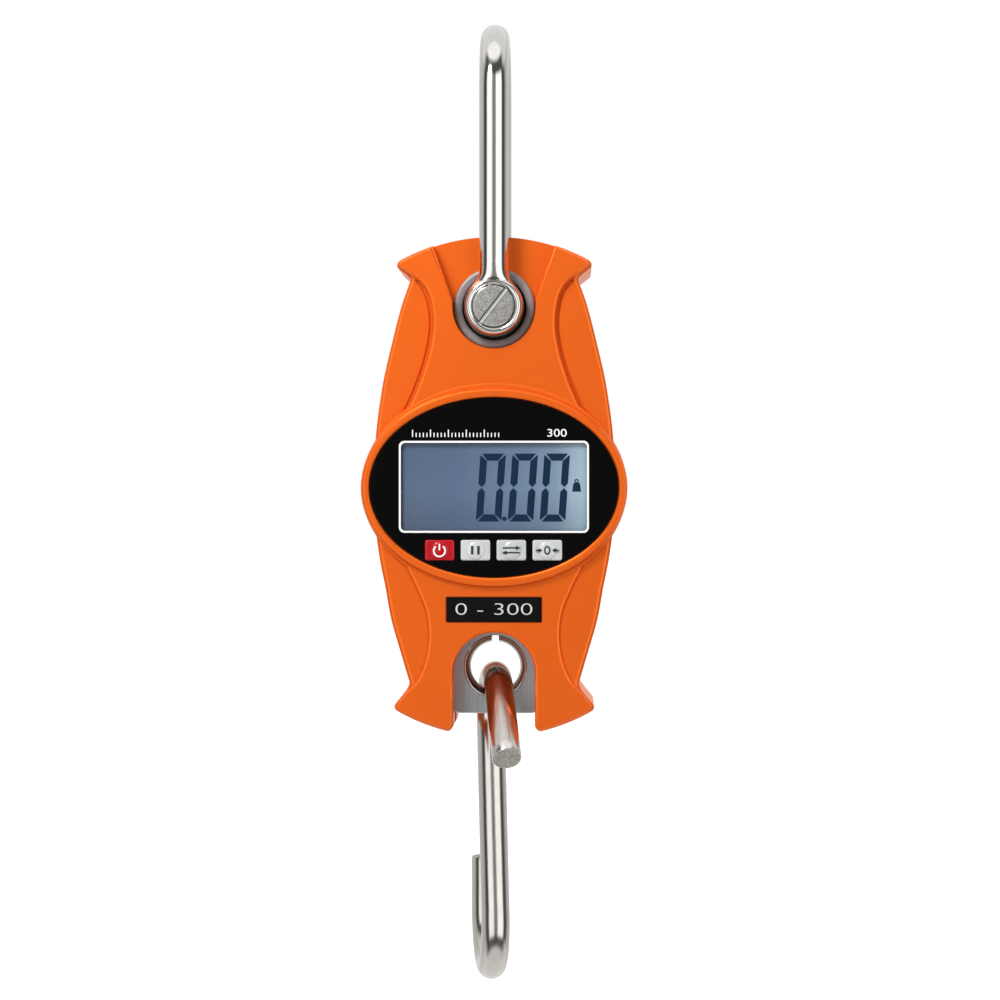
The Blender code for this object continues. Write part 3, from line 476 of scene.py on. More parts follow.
class Graph(Nodes):
    """The node tree of one new material, laid out in the object's own coordinates."""

    def __init__(self, name):
        self.material = bpy.data.materials.new(name)
        self.material.use_nodes = True
        super().__init__(self.material.node_tree)
        self.shader = self.tree.nodes["Principled BSDF"]
        self.place = self.node("ShaderNodeTexCoord").outputs["Object"]

    def noise(self, scale, detail=3.0, stretch=None, roughness=0.5):
        made = self.node("ShaderNodeTexNoise", {"Scale": scale, "Detail": detail, "Roughness": roughness})
        place = self.place
        if stretch:
            mapping = self.node("ShaderNodeMapping", {"Scale": stretch})
            self.link(place, mapping.inputs["Vector"])
            place = mapping.outputs["Vector"]
        self.link(place, made.inputs["Vector"])
        return made.outputs["Fac"]

    def between(self, value, low, high):
        """A value from 0 to 1 turned into one from low to high, not cut off at the ends."""
        made = self.node("ShaderNodeMapRange", {"To Min": low, "To Max": high}, clamp=False)
        self.link(value, made.inputs["Value"])
        return made.outputs["Result"]

    def colour(self, source):
        self.link(source, self.shader.inputs["Base Color"])

    def roughness(self, source):
        self.link(source, self.shader.inputs["Roughness"])

    def bump(self, height, strength, distance):
        made = self.node("ShaderNodeBump", {"Strength": strength, "Distance": distance})
        self.link(height, made.inputs["Height"])
        self.link(made.outputs["Normal"], self.shader.inputs["Normal"])

    def set(self, **values):
        for key, value in values.items():
            self.shader.inputs[key.replace("_", " ")].default_value = value


def linear(red, green, blue):
    """A display colour, 0 to 255, as scene-linear numbers."""
    def one(value):
        value /= 255
        return value / 12.92 if value <= 0.04045 else ((value + 0.055) / 1.055) ** 2.4
    return (one(red), one(green), one(blue))


SPECULAR_WARMTH = (1.0, 0.66, 0.42, 1.0)      # tints the paint's own reflections
EVEN = (1.0, 1.0, 1.0)                         # a grain with no direction


def painted(name, light, dark, rough=(0.28, 0.33), metallic=0.45):
    """Powder paint with fine flake on die-cast metal: faint colour drift and orange peel."""
    g = Graph(name)
    g.colour(g.ramp(g.noise(26.0, 0.0), [(0.3, dark), (0.7, light)]))
    g.roughness(g.between(g.noise(160.0, 1.0), *rough))
    g.bump(g.noise(1500.0, 1.0), 0.05, 0.00008)
    g.set(Metallic=metallic, Specular_IOR_Level=0.3, Specular_Tint=SPECULAR_WARMTH)
    g.set(Coat_Weight=0.14, Coat_Roughness=0.12)
    return g.material


def polished(name, tone, rough=(0.07, 0.16), streak=(1.0, 1.0, 0.06), strength=0.08, warm=0.0):
    """Polished steel with fine draw marks along its length; warm takes out some green and blue."""
    g = Graph(name)
    high = (tone, tone * (0.995 - 0.4 * warm), tone * (0.985 - warm))
    low = tuple(value * 0.92 for value in high)
    g.colour(g.ramp(g.noise(900.0, 4.0, streak), [(0.3, low), (0.7, high)]))
    g.roughness(g.between(g.noise(1400.0, 4.0, streak), *rough))
    g.bump(g.noise(2600.0, 3.0, streak), strength, 0.00004)
    g.set(Metallic=1.0)
    return g.material


def satin(name, colour, rough=(0.32, 0.45), streak=(6.0, 1.0, 0.25), metallic=1.0):
    """Brushed or blasted metal."""
    g = Graph(name)
    low = tuple(c * 0.82 for c in colour)
    g.colour(g.ramp(g.noise(700.0, 5.0, streak), [(0.3, low), (0.7, colour)]))
    g.roughness(g.between(g.noise(1500.0, 3.0), *rough))
    g.bump(g.noise(2400.0, 3.0, streak), 0.12, 0.00005)
    g.set(Metallic=metallic)
    return g.material


def moulded(name, colour, rough=(0.35, 0.5), grain=1800.0, strength=0.08, coat=0.0, gloss=0.5):
    """Moulded plastic or rubber with a fine surface grain."""
    g = Graph(name)
    low = tuple(c * 0.85 for c in colour)
    g.colour(g.ramp(g.noise(60.0, 3.0), [(0.3, low), (0.7, colour)]))
    g.roughness(g.between(g.noise(220.0, 3.0), *rough))
    g.bump(g.noise(grain, 2.0), strength, 0.00005)
    g.set(Coat_Weight=coat, Coat_Roughness=0.08, Specular_IOR_Level=gloss)
    return g.material


def granular(name, light, dark, scale):
    """The rough grey face of a cut or cast steel end."""
    g = Graph(name)
    grains = g.noise(scale, 6.0, None, 0.7)
    g.colour(g.ramp(grains, [(0.35, dark), (0.62, light)]))
    g.roughness(g.between(grains, 0.34, 0.55))
    g.bump(grains, 0.35, 0.00012)
    g.set(Metallic=0.9)
    return g.material


def lcd_picture_material():
    """The reflective LCD with light painted into its colour: deeper blue on the left and paler towards the
    right edge, which is a painted reflection, and painted shade that darkens it towards the bottom and a
    little towards the top.
    """
    g = Graph("lcd_picture_painted_light")
    split = g.node("ShaderNodeSeparateXYZ")
    g.link(g.place, split.inputs["Vector"])
    across = g.span(split.outputs["X"], -25.0 * MM, 25.0 * MM)
    # paler towards the right edge: a painted reflection on the LCD
    tone = g.ramp(across, [
        (0.0, linear(82, 97, 122)), (0.30, linear(83, 103, 129)), (0.66, linear(103, 124, 148)),
        (0.84, linear(122, 143, 162)), (0.93, linear(152, 173, 187)), (1.0, linear(164, 186, 199))])
    up = g.span(split.outputs["Z"], z_at(-8.0), z_at(15.0))
    # painted shade: darkest at the bottom, a little darker at the top, brightest a little below the middle
    drift = g.ramp(up, [
        (0.0, (0.72, 0.74, 0.76)), (0.45, (1.0, 1.0, 1.0)), (1.0, (0.86, 0.88, 0.9))])
    g.colour(g.mix(1.0, tone, drift, "MULTIPLY"))
    g.roughness(g.between(g.noise(300.0), 0.35, 0.45))
    return g.material


def window_material(name, shiny):
    """Thin clear plastic: it lets light straight through; a shiny face also reflects a little."""
    g = Graph(name)
    surface = g.tree.nodes["Material Output"].inputs["Surface"]
    see = g.node("ShaderNodeBsdfTransparent")
    tint = g.ramp(g.noise(40.0, 1.0), [(0.3, (0.97, 0.98, 0.99)), (0.7, (0.98, 0.985, 0.99))])
    g.link(tint, see.inputs["Color"])
    if not shiny:
        g.link(see.outputs["BSDF"], surface)
        return g.material
    shine = g.node("ShaderNodeBsdfGlossy", {"Roughness": 0.06})
    facing = g.node("ShaderNodeFresnel", {"IOR": 1.15})
    mix = g.node("ShaderNodeMixShader")
    g.link(facing.outputs["Fac"], mix.inputs["Fac"])
    g.link(see.outputs["BSDF"], mix.inputs[1])
    g.link(shine.outputs["BSDF"], mix.inputs[2])
    g.link(mix.outputs["Shader"], surface)
    return g.material


ORANGE = painted("orange_powder_paint", (0.80, 0.126, 0.0098), (0.78, 0.123, 0.0095))
STEEL = polished("polished_steel_bar", 0.61, warm=0.035)
HOOK_STEEL = polished("worn_steel_bar", 0.53, (0.13, 0.22), (1.0, 1.0, 0.05), 0.22, 0.075)
STEEL_EYE = polished("polished_steel_eye", 0.62, (0.08, 0.16), EVEN, 0.05)
PIN_FACE = granular("pin_face_steel", (0.38, 0.37, 0.36), (0.19, 0.186, 0.18), 1800.0)
SLOT_STEEL = satin("slot_steel", (0.72, 0.72, 0.71), (0.3, 0.4), EVEN, 0.3)
# near-black steel for the slot's walls: painted shade inside the slot
SLOT_SHADE = satin("slot_wall_painted_shade", (0.05, 0.05, 0.05), (0.4, 0.5), EVEN, 0.6)
SHEARED = granular("sheared_steel", (0.44, 0.42, 0.39), (0.20, 0.185, 0.165), 1300.0)
RING_GREY = satin("gunmetal_ring", (0.27, 0.25, 0.252), (0.38, 0.48), EVEN, 0.3)
PLATE = satin("cell_plate", (0.44, 0.455, 0.48), (0.28, 0.40), (5.0, 1.0, 0.10))
LINER = polished("liner_steel", 0.52, (0.18, 0.28), EVEN, 0.06, 0.12)
GLOSS_BLACK = moulded("panel_black", (0.0014, 0.0014, 0.0015), (0.12, 0.18), 900.0, 0.02, 0.0, 0.09)
LABEL_BLACK = moulded("label_black", (0.0024, 0.002, 0.0018), (0.28, 0.38), 1500.0, 0.05, 0.0, 0.12)
MATTE_BLACK = moulded("moulded_black", (0.014, 0.014, 0.015), (0.5, 0.65))
RUBBER = moulded("seal_rubber", (0.010, 0.010, 0.010), (0.65, 0.8), 1200.0, 0.15)
LABEL_PRINT = moulded("label_print", (0.60, 0.60, 0.59), (0.4, 0.5), 1500.0, 0.03)
WHITE_PRINT = moulded("white_print", (0.86, 0.86, 0.85), (0.4, 0.5), 1500.0, 0.03)
DARK_PRINT = moulded("dark_print", (0.012, 0.012, 0.014), (0.4, 0.5), 1500.0, 0.03)
DIGIT = moulded("lcd_digit", linear(18, 43, 68), (0.35, 0.45), 1500.0, 0.02, 0.0, 0.1)
RED = moulded("red_key", linear(170, 6, 18), (0.18, 0.26), 1300.0, 0.04, 0.06, 0.3)
SILVER = moulded("silver_key", (0.50, 0.52, 0.52), (0.20, 0.28), 1300.0, 0.03, 0.6)
ZINC = satin("zinc_plated", (0.55, 0.55, 0.52), (0.25, 0.38), EVEN)
NICKEL = satin("nickel_strip", (0.62, 0.60, 0.56), (0.2, 0.3), EVEN)
BOARD = moulded("green_board", (0.012, 0.13, 0.045), (0.3, 0.42), 700.0, 0.1, 0.3)
CHIP = moulded("chip_black", (0.02, 0.02, 0.021), (0.45, 0.6))
FOIL = moulded("gauge_film", (0.52, 0.30, 0.08), (0.25, 0.4), 1500.0, 0.05, 0.3)
DIFFUSER = moulded("backlight_white", (0.8, 0.82, 0.8), (0.35, 0.5))
WIRE_RED = moulded("lead_red", (0.45, 0.015, 0.015), (0.4, 0.5))
WIRE_BLACK = moulded("lead_black", (0.012, 0.012, 0.012), (0.4, 0.5))
WIRE_GREY = moulded("cable_grey", (0.18, 0.18, 0.18), (0.5, 0.6))
BATTERY = painted("battery_sleeve", (0.03, 0.11, 0.32), (0.025, 0.09, 0.27), (0.2, 0.3), 0.0)
LCD_PICTURE = lcd_picture_material()
WINDOW = window_material("window_clear", True)
WINDOW_BACK = window_material("window_back", False)


def dress(made, material, body, slot_name, *replaced):
    """Gives a new piece its material and body, and hides the nodes it stands for; slot_name is not used."""
    made.data.materials.clear()
    made.data.materials.append(material)
    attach(made, body)
    if replaced:
        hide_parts(*replaced)
    return made


def redress(node_name, material):
    """A CAD node keeps its shape and gets a finished material."""
    for item in NODES[node_name].material_slots:
        item.material = material


# ---- housing ----
# Y runs from the front (negative) to the back (positive); every profile lists (inset, y).
FRONT_WING = -13.5
FRONT_PANEL = -15.3
REAR = 18.0
PARTING = 0.35
LOWER_WING_STEP = 0.95      # the lower side wings stand this much further forward
RIDGE_FOOT = 0.75
BEZEL_HALF = (36.5, 27.3)
COLLAR_HALF = (36.4, 28.75)
RIM_ROOM_HALF = (35.3, 26.1)
POCKET_HALF = (34.15, 24.65)
POCKET_FLOOR = -14.6
RIM_ROOT = [(4.6, -4.0), (3.2, -6.5), (1.6, -9.6), (0.55, -12.2)]
WINDOW_LEVEL = 3.6
LABEL_LEVEL = -30.0
PIN_WAY_RADIUS = 9.7
COVER_SCREWS = [(side * x, z) for x, z in ((18.0, 47.0), (25.0, -25.5), (18.0, -51.0)) for side in (1, -1)]
BOSS_SCREWS = COVER_SCREWS[:4]
CELL_SLOT = rectangle(-13.35, 13.35, -70.0, 63.5)


def oval(rx, rz):
    return ellipse(0.0, PANEL_LEVEL, rx, rz, 160)


def clamped(value):
    return min(max(value, 0.0), 1.0)


def recess_cutter(floor, top):
    """The V-shaped hollow behind a shackle leg.

    Its sides slope and have a small ledge, and its foot is round about the pin.
    """
    outline = [(-18.4, 75.0), (-11.3, PIN_LEVEL + 1.5)]
    outline += arc(0.0, PIN_LEVEL, 11.4, 11.4, 172.0, 368.0, 40)[1:-1]
    outline += [(11.3, PIN_LEVEL + 1.5), (18.4, 75.0)]
    side = 1.0 if top > floor else -1.0
    reach = abs(top - floor)
    rise = reach - 0.35
    lean = 1.35

    def slope(x, z):
        return clamped((z - PIN_LEVEL) / 10.0)

    steps = [(0.0, rise), (-0.10, 1.15), (-0.18, 0.85), (-0.36, 0.66), (-0.78, 0.56), (-0.90, 0.44),
             (-0.97, 0.18)]
    profile = [(out * lean, floor + side * (rise - below)) for out, below in steps]
    profile += [(-1.08 * lean, floor + side * rise), (-1.14 * lean, floor + side * reach)]
    return loft("recess", outline, profile, slope)


def waist_share(x, z):
    """1 along the panel's waist, less on the housing's own top, bottom and fins."""
    return 1.0 - 0.62 * max(clamped((z - 58.0) / 4.0), clamped((-49.0 - z) / 4.0))


def groove_share(x, z):
    """The groove is narrower along the lower waist."""
    return waist_share(x, z) * (0.55 + 0.45 * clamped(z / 8.0))


def fin_share(x, z):
    """A smaller edge radius on the four fins than along the sides."""
    near = min(abs(z - 62.5), abs(z + 55.0))
    return 0.45 + 0.55 * clamped((near - 5.0) / 6.0)


def groove_cutter():
    """The narrow groove at the foot of the raised panel, along its two waists only."""
    lip = [(0.0, -12.85), (0.0, -13.22), (-0.10, -13.40), (-0.42, -13.56), (-0.55, -14.2)]
    groove = loft("groove", HOURGLASS, lip, groove_share)
    bore(groove, "above_fins", rectangle(-40.0, 40.0, 60.3, 90.0), -10.0, -16.0)
    bore(groove, "below_fins", rectangle(-40.0, 40.0, -90.0, -50.6), -10.0, -16.0)
    return groove


def bezel_solid():
    """The oval rim: a rounded crest outside, a wall down to the display pocket, and its floor."""
    outer = RIM_ROOT + [(0.0, -14.6), (0.03, -15.6), (0.16, -16.25), (0.42, -16.72), (0.80, -16.95)]
    outer.append((1.3, -17.0))
    rings = [(BEZEL_HALF[0] - inset, BEZEL_HALF[1] - inset, y) for inset, y in outer]
    inner = [(0.42, 0.50, -16.93), (0.14, 0.16, -16.72), (0.0, 0.0, -16.35), (0.0, 0.0, POCKET_FLOOR)]
    rings += [(POCKET_HALF[0] + out_x, POCKET_HALF[1] + out_z, y) for out_x, out_z, y in inner]
    return skinned("bezel_solid", [[(x, y, z) for x, z in oval(rx, rz)] for rx, rz, y in rings])


def build_front_cover():
    cover = soft_plate("front_shell", HOUSING, -PARTING, FRONT_WING, 1.15, 0.25)
    cut(cover, groove_cutter())
    lower = soft_plate("lower_wings", HOUSING, -4.0, FRONT_WING - LOWER_WING_STEP, 1.3, 0.05)
    bore(lower, "above", rectangle(-60.0, 60.0, -7.0, 90.0), 0.0, -20.0)
    join(cover, lower)
    edge = rounding(-11.0, FRONT_PANEL, 1.15, 7)
    ridge = [(RIDGE_FOOT, -11.0)] + [(RIDGE_FOOT + inset, y) for inset, y in edge]
    join(cover, loft("ridge_panel", HOURGLASS, ridge, waist_share))
    lip = [(0.0, 0.45), (0.08, 0.2), (0.25, 0.0), (0.42, -0.12), (0.65, -0.16)]
    collar = RIM_ROOT + [(0.0, -14.2)] + [(inset, FRONT_PANEL + back) for inset, back in lip]
    join(cover, loft("collar", oval(*COLLAR_HALF), collar))
    bore(cover, "rim_room", oval(*RIM_ROOM_HALF), -12.0, -19.0)
    join(cover, bezel_solid())
    bore(cover, "hollow", CAVITY, 1.0, -10.8)
    bore(cover, "top_hollow", TOP_CAVITY, 1.0, -7.2)
    deep = mirrored([(0.0, 27.4)] + arc(0.0, 3.4, 33.0, 24.0, 80.0, -25.0, 14)
                    + [(22.5, -12.0), (20.5, -18.0), (0.0, -18.0)])
    bore(cover, "deep_hollow", deep, -10.0, -12.9)
    for x, z in BOSS_SCREWS:
        join(cover, prism("boss", circle(x, z, 2.8, 28), -0.5, -11.2))
    for x, z in COVER_SCREWS:
        bore(cover, "screw_hole", circle(x, z, 1.6, 24), 1.0, -9.5)
    bore(cover, "cell_room", CELL_SLOT, 1.0, -4.4)
    arch_edge = [(0.0, 1.0), (0.0, -12.0), (0.0, -14.35), (-0.12, -14.8), (-0.42, -15.15), (-0.85, -15.32),
                 (-0.9, -16.0)]
    cut(cover, loft("arch", ARCH, arch_edge))
    cut(cover, recess_cutter(-10.0, FRONT_PANEL - 0.35))
    bore(cover, "pin_way", circle(0.0, PIN_LEVEL, PIN_WAY_RADIUS, 96), 1.0, -12.0)
    bore(cover, "lcd_way", rounded_rect(0.0, WINDOW_LEVEL, 48.6, 21.8, 1.0), -12.0, -16.0)
    for x in KEY_X:
        bore(cover, "key_way", rounded_rect(x, KEY_LEVEL, 8.6, 6.1, 1.0), -12.0, -16.0)
    bore(cover, "label_bed", rounded_rect(0.0, LABEL_LEVEL, 26.5, 7.3, 0.4), -15.0, -17.0)
    dress(shade(cover, 24.0), ORANGE, "housing", "orange_paint", "front_cover")


def door_outline(grow):
    """The battery door with its screw tab, grown all round; corners are cut at 45 degrees."""
    w = 20.7 + grow
    low = -28.7 - grow
    top = 26.7 + grow
    tab = 6.0 + grow
    foot = -37.0 - grow
    return mirrored([
        (0.0, top), (w - 1.5, top), (w, top - 1.5), (w, low + 1.5), (w - 1.5, low),
        (tab + 1.5, low), (tab, low - 1.5), (tab, -35.5 - grow), (tab - 2.0, foot), (0.0, foot)])


def build_rear_cover():
    cover = soft_plate("rear_shell", HOUSING, PARTING, REAR, 2.4, 0.25, 7, fin_share)
    bore(cover, "hollow", CAVITY, -1.0, 14.6)
    bore(cover, "top_hollow", TOP_CAVITY, -1.0, 7.2)
    for x, z in BOSS_SCREWS:
        join(cover, prism("boss", circle(x, z, 2.8, 28), 0.5, 15.0))
    bore(cover, "cell_room", CELL_SLOT, -1.0, 4.4)
    arch_edge = [(0.0, -1.0), (0.0, 12.0), (0.0, 17.0), (-0.15, 17.5), (-0.5, 17.9), (-0.95, 18.05),
                 (-1.0, 19.0)]
    cut(cover, loft("arch", ARCH, arch_edge))
    cut(cover, recess_cutter(10.0, REAR + 0.35))
    bore(cover, "pin_way", circle(0.0, PIN_LEVEL, PIN_WAY_RADIUS, 96), -1.0, 12.0)
    bore(cover, "tray_way", rectangle(-19.3, 19.3, -27.3, 25.3), 10.0, 20.0)
    bore(cover, "door_bed", door_outline(0.9), 16.05, 20.0)
    bore(cover, "door_screw_hole", circle(0.0, -32.0, 2.0, 32), 11.0, 17.0)
    for x, z in COVER_SCREWS:
        bore(cover, "screw_hole", circle(x, z, 1.7, 24), -1.0, 16.0)
        bore(cover, "head_hole", circle(x, z, 3.1, 40), 14.8, 20.0)
    dress(shade(cover, 24.0), ORANGE, "housing", "orange_paint", "rear_cover")


def build_eye_rings():
    """The grey trim rings about the shackle pin; their inner lips stand over the seals."""
    profile = [(9.2, 7.6), (9.6, 7.6), (9.6, 10.05), (11.15, 10.05), (11.2, 10.9), (11.05, 11.3),
               (10.7, 11.52), (10.2, 11.55), (9.4, 11.38), (8.9, 11.1), (8.8, 10.75), (8.8, 10.4),
               (9.2, 10.1)]
    for label, side in (("front", -1.0), ("rear", 1.0)):
        ring = lathe("trim_ring_" + label, [(r, side * y) for r, y in profile], PIN_LEVEL)
        dress(shade(ring, 40.0), RING_GREY, "housing", "satin_steel", "eye_ring_" + label)


# ---- shackle ----
LEG_Y = 16.0
BAR_RADIUS = 4.0


def build_shackle():
    """The bent bar with its inside top at the frame's origin, and a turned eye on each leg."""
    top = (0.0 - REFERENCE_Z) / MM - (LEG_Y - BAR_RADIUS)
    leg = [PIN_LEVEL + 10.0 + k * 4.0 for k in range(12)]
    path = [(LEG_Y, level) for level in leg]
    path += arc(0.0, top, LEG_Y, LEG_Y, 0.0, 180.0, 56)
    path += [(-LEG_Y, level) for level in reversed(leg)]
    bow = tube("shackle_bar", path, BAR_RADIUS)
    half = [(4.0, 2.7), (5.75, 2.75), (6.0, 3.02), (6.3, 3.26), (6.6, 3.4), (6.85, 3.44), (7.1, 3.36),
            (7.35, 3.18), (7.6, 2.88), (7.82, 2.44), (8.0, 1.85), (8.13, 1.0)]
    for y in (-LEG_Y, LEG_Y):
        join(bow, neck("neck", y))
        ring = [(r, y - deep) for r, deep in half]
        ring += [(8.2, y)] + [(r, 2 * y - near) for r, near in reversed(ring)]
        join(bow, lathe("eye", ring, PIN_LEVEL))
    pin_way = [(0.0, -22.0), (5.78, -22.0), (5.78, 22.0), (0.0, 22.0)]
    cut(bow, lathe("pin_way", pin_way, PIN_LEVEL, 96, 0.0, False))
    dress(shade(bow, 32.0), STEEL, "shackle", "polished_steel", "shackle_bow")


def neck(name, y):
    """The forged flare between a round leg and its flat eye.

    Each section lists its height above the pin, half its width and depth, and the power of its
    rounded-square outline (2 is a circle).
    """
    sections = [(4.4, 6.85, 2.5, 3.0), (5.3, 6.25, 2.75, 2.9), (6.1, 5.6, 3.0, 2.7), (6.8, 5.0, 3.25, 2.5),
                (7.4, 4.6, 3.52, 2.35), (8.0, 4.32, 3.76, 2.2), (8.8, 4.12, 3.93, 2.1),
                (10.0, 4.02, 3.99, 2.02), (12.0, 4.01, 4.01, 2.0), (13.4, 3.9, 3.9, 2.0)]
    sides = 48
    rings = []
    for up, half_width, half_depth, power in sections:
        ring = []
        for i in range(sides):
            a = 2 * math.pi * i / sides
            c, s = math.cos(a), math.sin(a)
            x = math.copysign(abs(c) ** (2 / power), c) * half_width
            d = math.copysign(abs(s) ** (2 / power), s) * half_depth
            ring.append((x, y + d, PIN_LEVEL + up))
        rings.append(ring)
    return skinned(name, rings)


def build_pin():
    """The pin with its slotted front face; the slot has sloped walls and a pale floor, and its walls get
    near-black steel as painted shade.
    """
    half = [(0.0, 19.62), (5.0, 19.62), (5.42, 19.55), (5.62, 19.35)]
    profile = [(r, -y) for r, y in half] + [(5.7, -19.0), (5.7, 19.0)] + half[::-1]
    pin = lathe("slotted_pin", profile, PIN_LEVEL, 96, 0.0, False)
    slot = loft("slot", rectangle(-0.4, 0.4, -7.0, 7.0), [(0.0, -18.9), (-0.34, -19.75)])
    lift = Matrix.Translation((0.0, 0.0, z_at(PIN_LEVEL)))
    turn = Matrix.Rotation(math.radians(38.0), 4, "Y")
    slot.data.transform(lift @ turn @ Matrix.Translation((0.0, 0.0, -z_at(0.0))))
    cut(pin, slot)
    dress(shade(pin, 30.0), PIN_FACE, "shackle", "polished_steel", "shackle_pin")
    for material in (STEEL_EYE, SLOT_STEEL, SLOT_SHADE):
        pin.data.materials.append(material)
    for face in pin.data.polygons:
        if face.normal.y < -0.9 and face.center.y > -19.2 * MM:
            face.material_index = 2
        elif abs(face.normal.y) < 0.9:
            # side faces inside the slot get the near-black steel as painted shade; the other side faces get
            # polished steel
            inside = math.hypot(face.center.x, face.center.z - z_at(PIN_LEVEL)) < 5.3 * MM
            face.material_index = 3 if inside else 1


# ---- hook ----
def hook_path():
    """Centre line of the S-hook: front tip, bend through the eye, shank, lower loop, rear tip."""
    bend_r, bend_level, loop_r, loop_level = 13.0, -62.0, 14.0, -118.5
    front_limb, rear_limb = 25.5, 14.9
    span = Vector((loop_r, loop_level - bend_level))
    lean = math.asin((bend_r + loop_r) / span.length) - math.atan2(loop_r, bend_level - loop_level)
    start = -math.radians(42.0)
    end = math.pi / 2 + lean
    bend = []
    for i in range(49):
        a = start + (end - start) * i / 48
        bend.append((bend_r * math.sin(a), bend_level + bend_r * math.cos(a)))
    start_loop = math.pi - lean
    loop = []
    for i in range(57):
        a = start_loop + (2 * math.pi - start_loop) * i / 56
        loop.append((loop_r + loop_r * math.cos(a), loop_level + loop_r * math.sin(a)))
    tip = (bend[0][0] - front_limb * math.cos(start), bend[0][1] + front_limb * math.sin(start))
    rear = [(2 * loop_r, loop_level + rear_limb * i / 5) for i in range(1, 6)]
    return straight(tip, bend[0], 8) + bend + straight(bend[-1], loop[0], 14)[1:] + loop + rear


def build_hook():
    sides = 48
    hook = tube("hook_bar", hook_path(), BAR_RADIUS, math.radians(8.0), sides, ((0.15, 0.3), (0.1, 0.5)))
    dress(shade(hook, 32.0, False), HOOK_STEEL, "hook", "polished_steel", "s_hook")
    hook.data.materials.append(SHEARED)
    for ring in (hook.data.vertices[:sides], hook.data.vertices[-sides:]):
        tip = sum((v.co for v in ring), Vector()) / len(ring)
        for face in hook.data.polygons:
            if (face.center - tip).length < 3.72 * MM:
                face.material_index = 1


def build_liner():
    """A split ring, waisted inside where the hook sits."""
    profile = []
    for i in range(21):
        y = -4.4 + 8.8 * i / 20
        profile.append((6.9 + 8.0 - math.sqrt(64.0 - y * y), y))
    profile += [(8.35, 4.4), (8.62, 4.32), (8.7, 4.1), (8.7, -4.1), (8.62, -4.32), (8.35, -4.4)]
    liner = lathe("split_liner", profile, EYE_LEVEL, 128)
    bore(liner, "gap", rectangle(-1.0, 1.0, EYE_LEVEL + 4.0, EYE_LEVEL + 12.0), -6.0, 6.0)
    dress(shade(liner, 35.0), LINER, "hook_liner", "polished_steel", "hook_liner")


# ---- display and keys ----
WINDOW_OUTLINE = rounded_rect(0.0, WINDOW_LEVEL, 50.8, 24.0, 1.4)
PRINT_FOOT = -16.3
PANEL_PRINT = (PRINT_FOOT, PRINT_FOOT - PRINT_THICKNESS)
LCD_PRINT = (-14.93, -14.99)
MARK_FOOT = -16.7
MARK_DEPTH = 0.65
STROKE = 0.42


def build_window_border():
    """The white line printed round the window."""
    line = 0.52
    border = prism("window_border", rounded_rect(0.0, WINDOW_LEVEL, 51.9, 25.1, 1.5, 8), *PANEL_PRINT)
    inner = rounded_rect(0.0, WINDOW_LEVEL, 51.9 - 2 * line, 25.1 - 2 * line, 1.5 - line * 0.6, 8)
    bore(border, "inside", inner, PRINT_FOOT + 1.0, PRINT_FOOT - 1.0)
    dress(border, WHITE_PRINT, "housing", "backlight_white")


def seven_segment_zero(x, level, width, height, t, slant):
    """The six lit segments of a slanted zero, each t thick, as outlines."""
    gap = 0.16
    half = height / 2
    w = width / 2
    upright = [(-w, gap + t * 0.5), (-w + t / 2, gap * 0.6), (-w + t, gap + t * 0.5),
               (-w + t, half - t - gap), (-w + 0.1, half - 0.35), (-w, half - 0.8)]
    bar = [(-w + 0.35 + gap, half), (w - 0.35 - gap, half), (w - t - gap * 0.4, half - t),
           (-w + t + gap * 0.4, half - t)]
    shapes = [[(px * sx, pz * sz) for px, pz in upright] for sz in (1, -1) for sx in (1, -1)]
    shapes += [[(px, pz * sz) for px, pz in bar] for sz in (1, -1)]
    return [[(x + px + slant * pz, level + pz) for px, pz in shape] for shape in shapes]


def build_display():
    panel = loft("panel_face", oval(34.0, 24.5),
                 [(0.0, -14.7), (0.0, -16.15), (0.08, -16.27), (0.25, PRINT_FOOT)])
    bore(panel, "window_way", rounded_rect(0.0, WINDOW_LEVEL, 51.0, 24.2, 1.5), -14.0, -17.0)
    for x in KEY_X:
        bore(panel, "key_way", rounded_rect(x, KEY_LEVEL, 8.5, 6.0, 0.9), -14.0, -17.0)
    dress(shade(panel, 30.0), GLOSS_BLACK, "housing", "black_gloss_plastic", "display_panel")
    build_window_border()
    window = soft_plate("window_plate", WINDOW_OUTLINE, -15.1, -16.28, 0.05, 0.05, 3)
    dress(shade(window, 30.0), WINDOW, "housing", "clear_window", "display_window")
    window.data.materials.append(WINDOW_BACK)
    for face in window.data.polygons:
        if face.normal.y > -0.5:
            face.material_index = 1
    picture = prism("lcd_face", WINDOW_OUTLINE, -14.75, -14.95)
    dress(picture, LCD_PICTURE, "housing", "lcd_blue_grey")
    shapes = []
    for x in (-0.85, 7.9, 16.65):
        shapes += seven_segment_zero(x, 3.4, 7.0, 18.6, 1.95, 0.07)
    shapes.append(circle(2.85, -5.15, 0.62, 24))
    digits = [prism("segment", shape, *LCD_PRINT) for shape in shapes]
    dress(merge("lcd_digits", digits), DIGIT, "housing", "lcd_blue_grey")
    build_weight_mark(22.6, 4.0, 1.45)
    build_scale_print()


def build_weight_mark(x, level, size):
    """A generic weight pictogram: a trapezium under a small ring."""
    low, high = level - 1.2 * size, level + 0.45 * size
    body = [(x - 0.85 * size, low), (x + 0.85 * size, low), (x + 0.6 * size, high), (x - 0.6 * size, high)]
    middle = level + 0.8 * size
    back, face = LCD_PRINT
    ring = prism("ring", circle(x, middle, 0.42 * size, 32), back, face)
    bore(ring, "hole", circle(x, middle, 0.2 * size, 24), back + 1.0, face - 1.0)
    mark = merge("unit_mark", [prism("body", body, back, face), ring])
    dress(mark, DIGIT, "housing", "lcd_blue_grey")


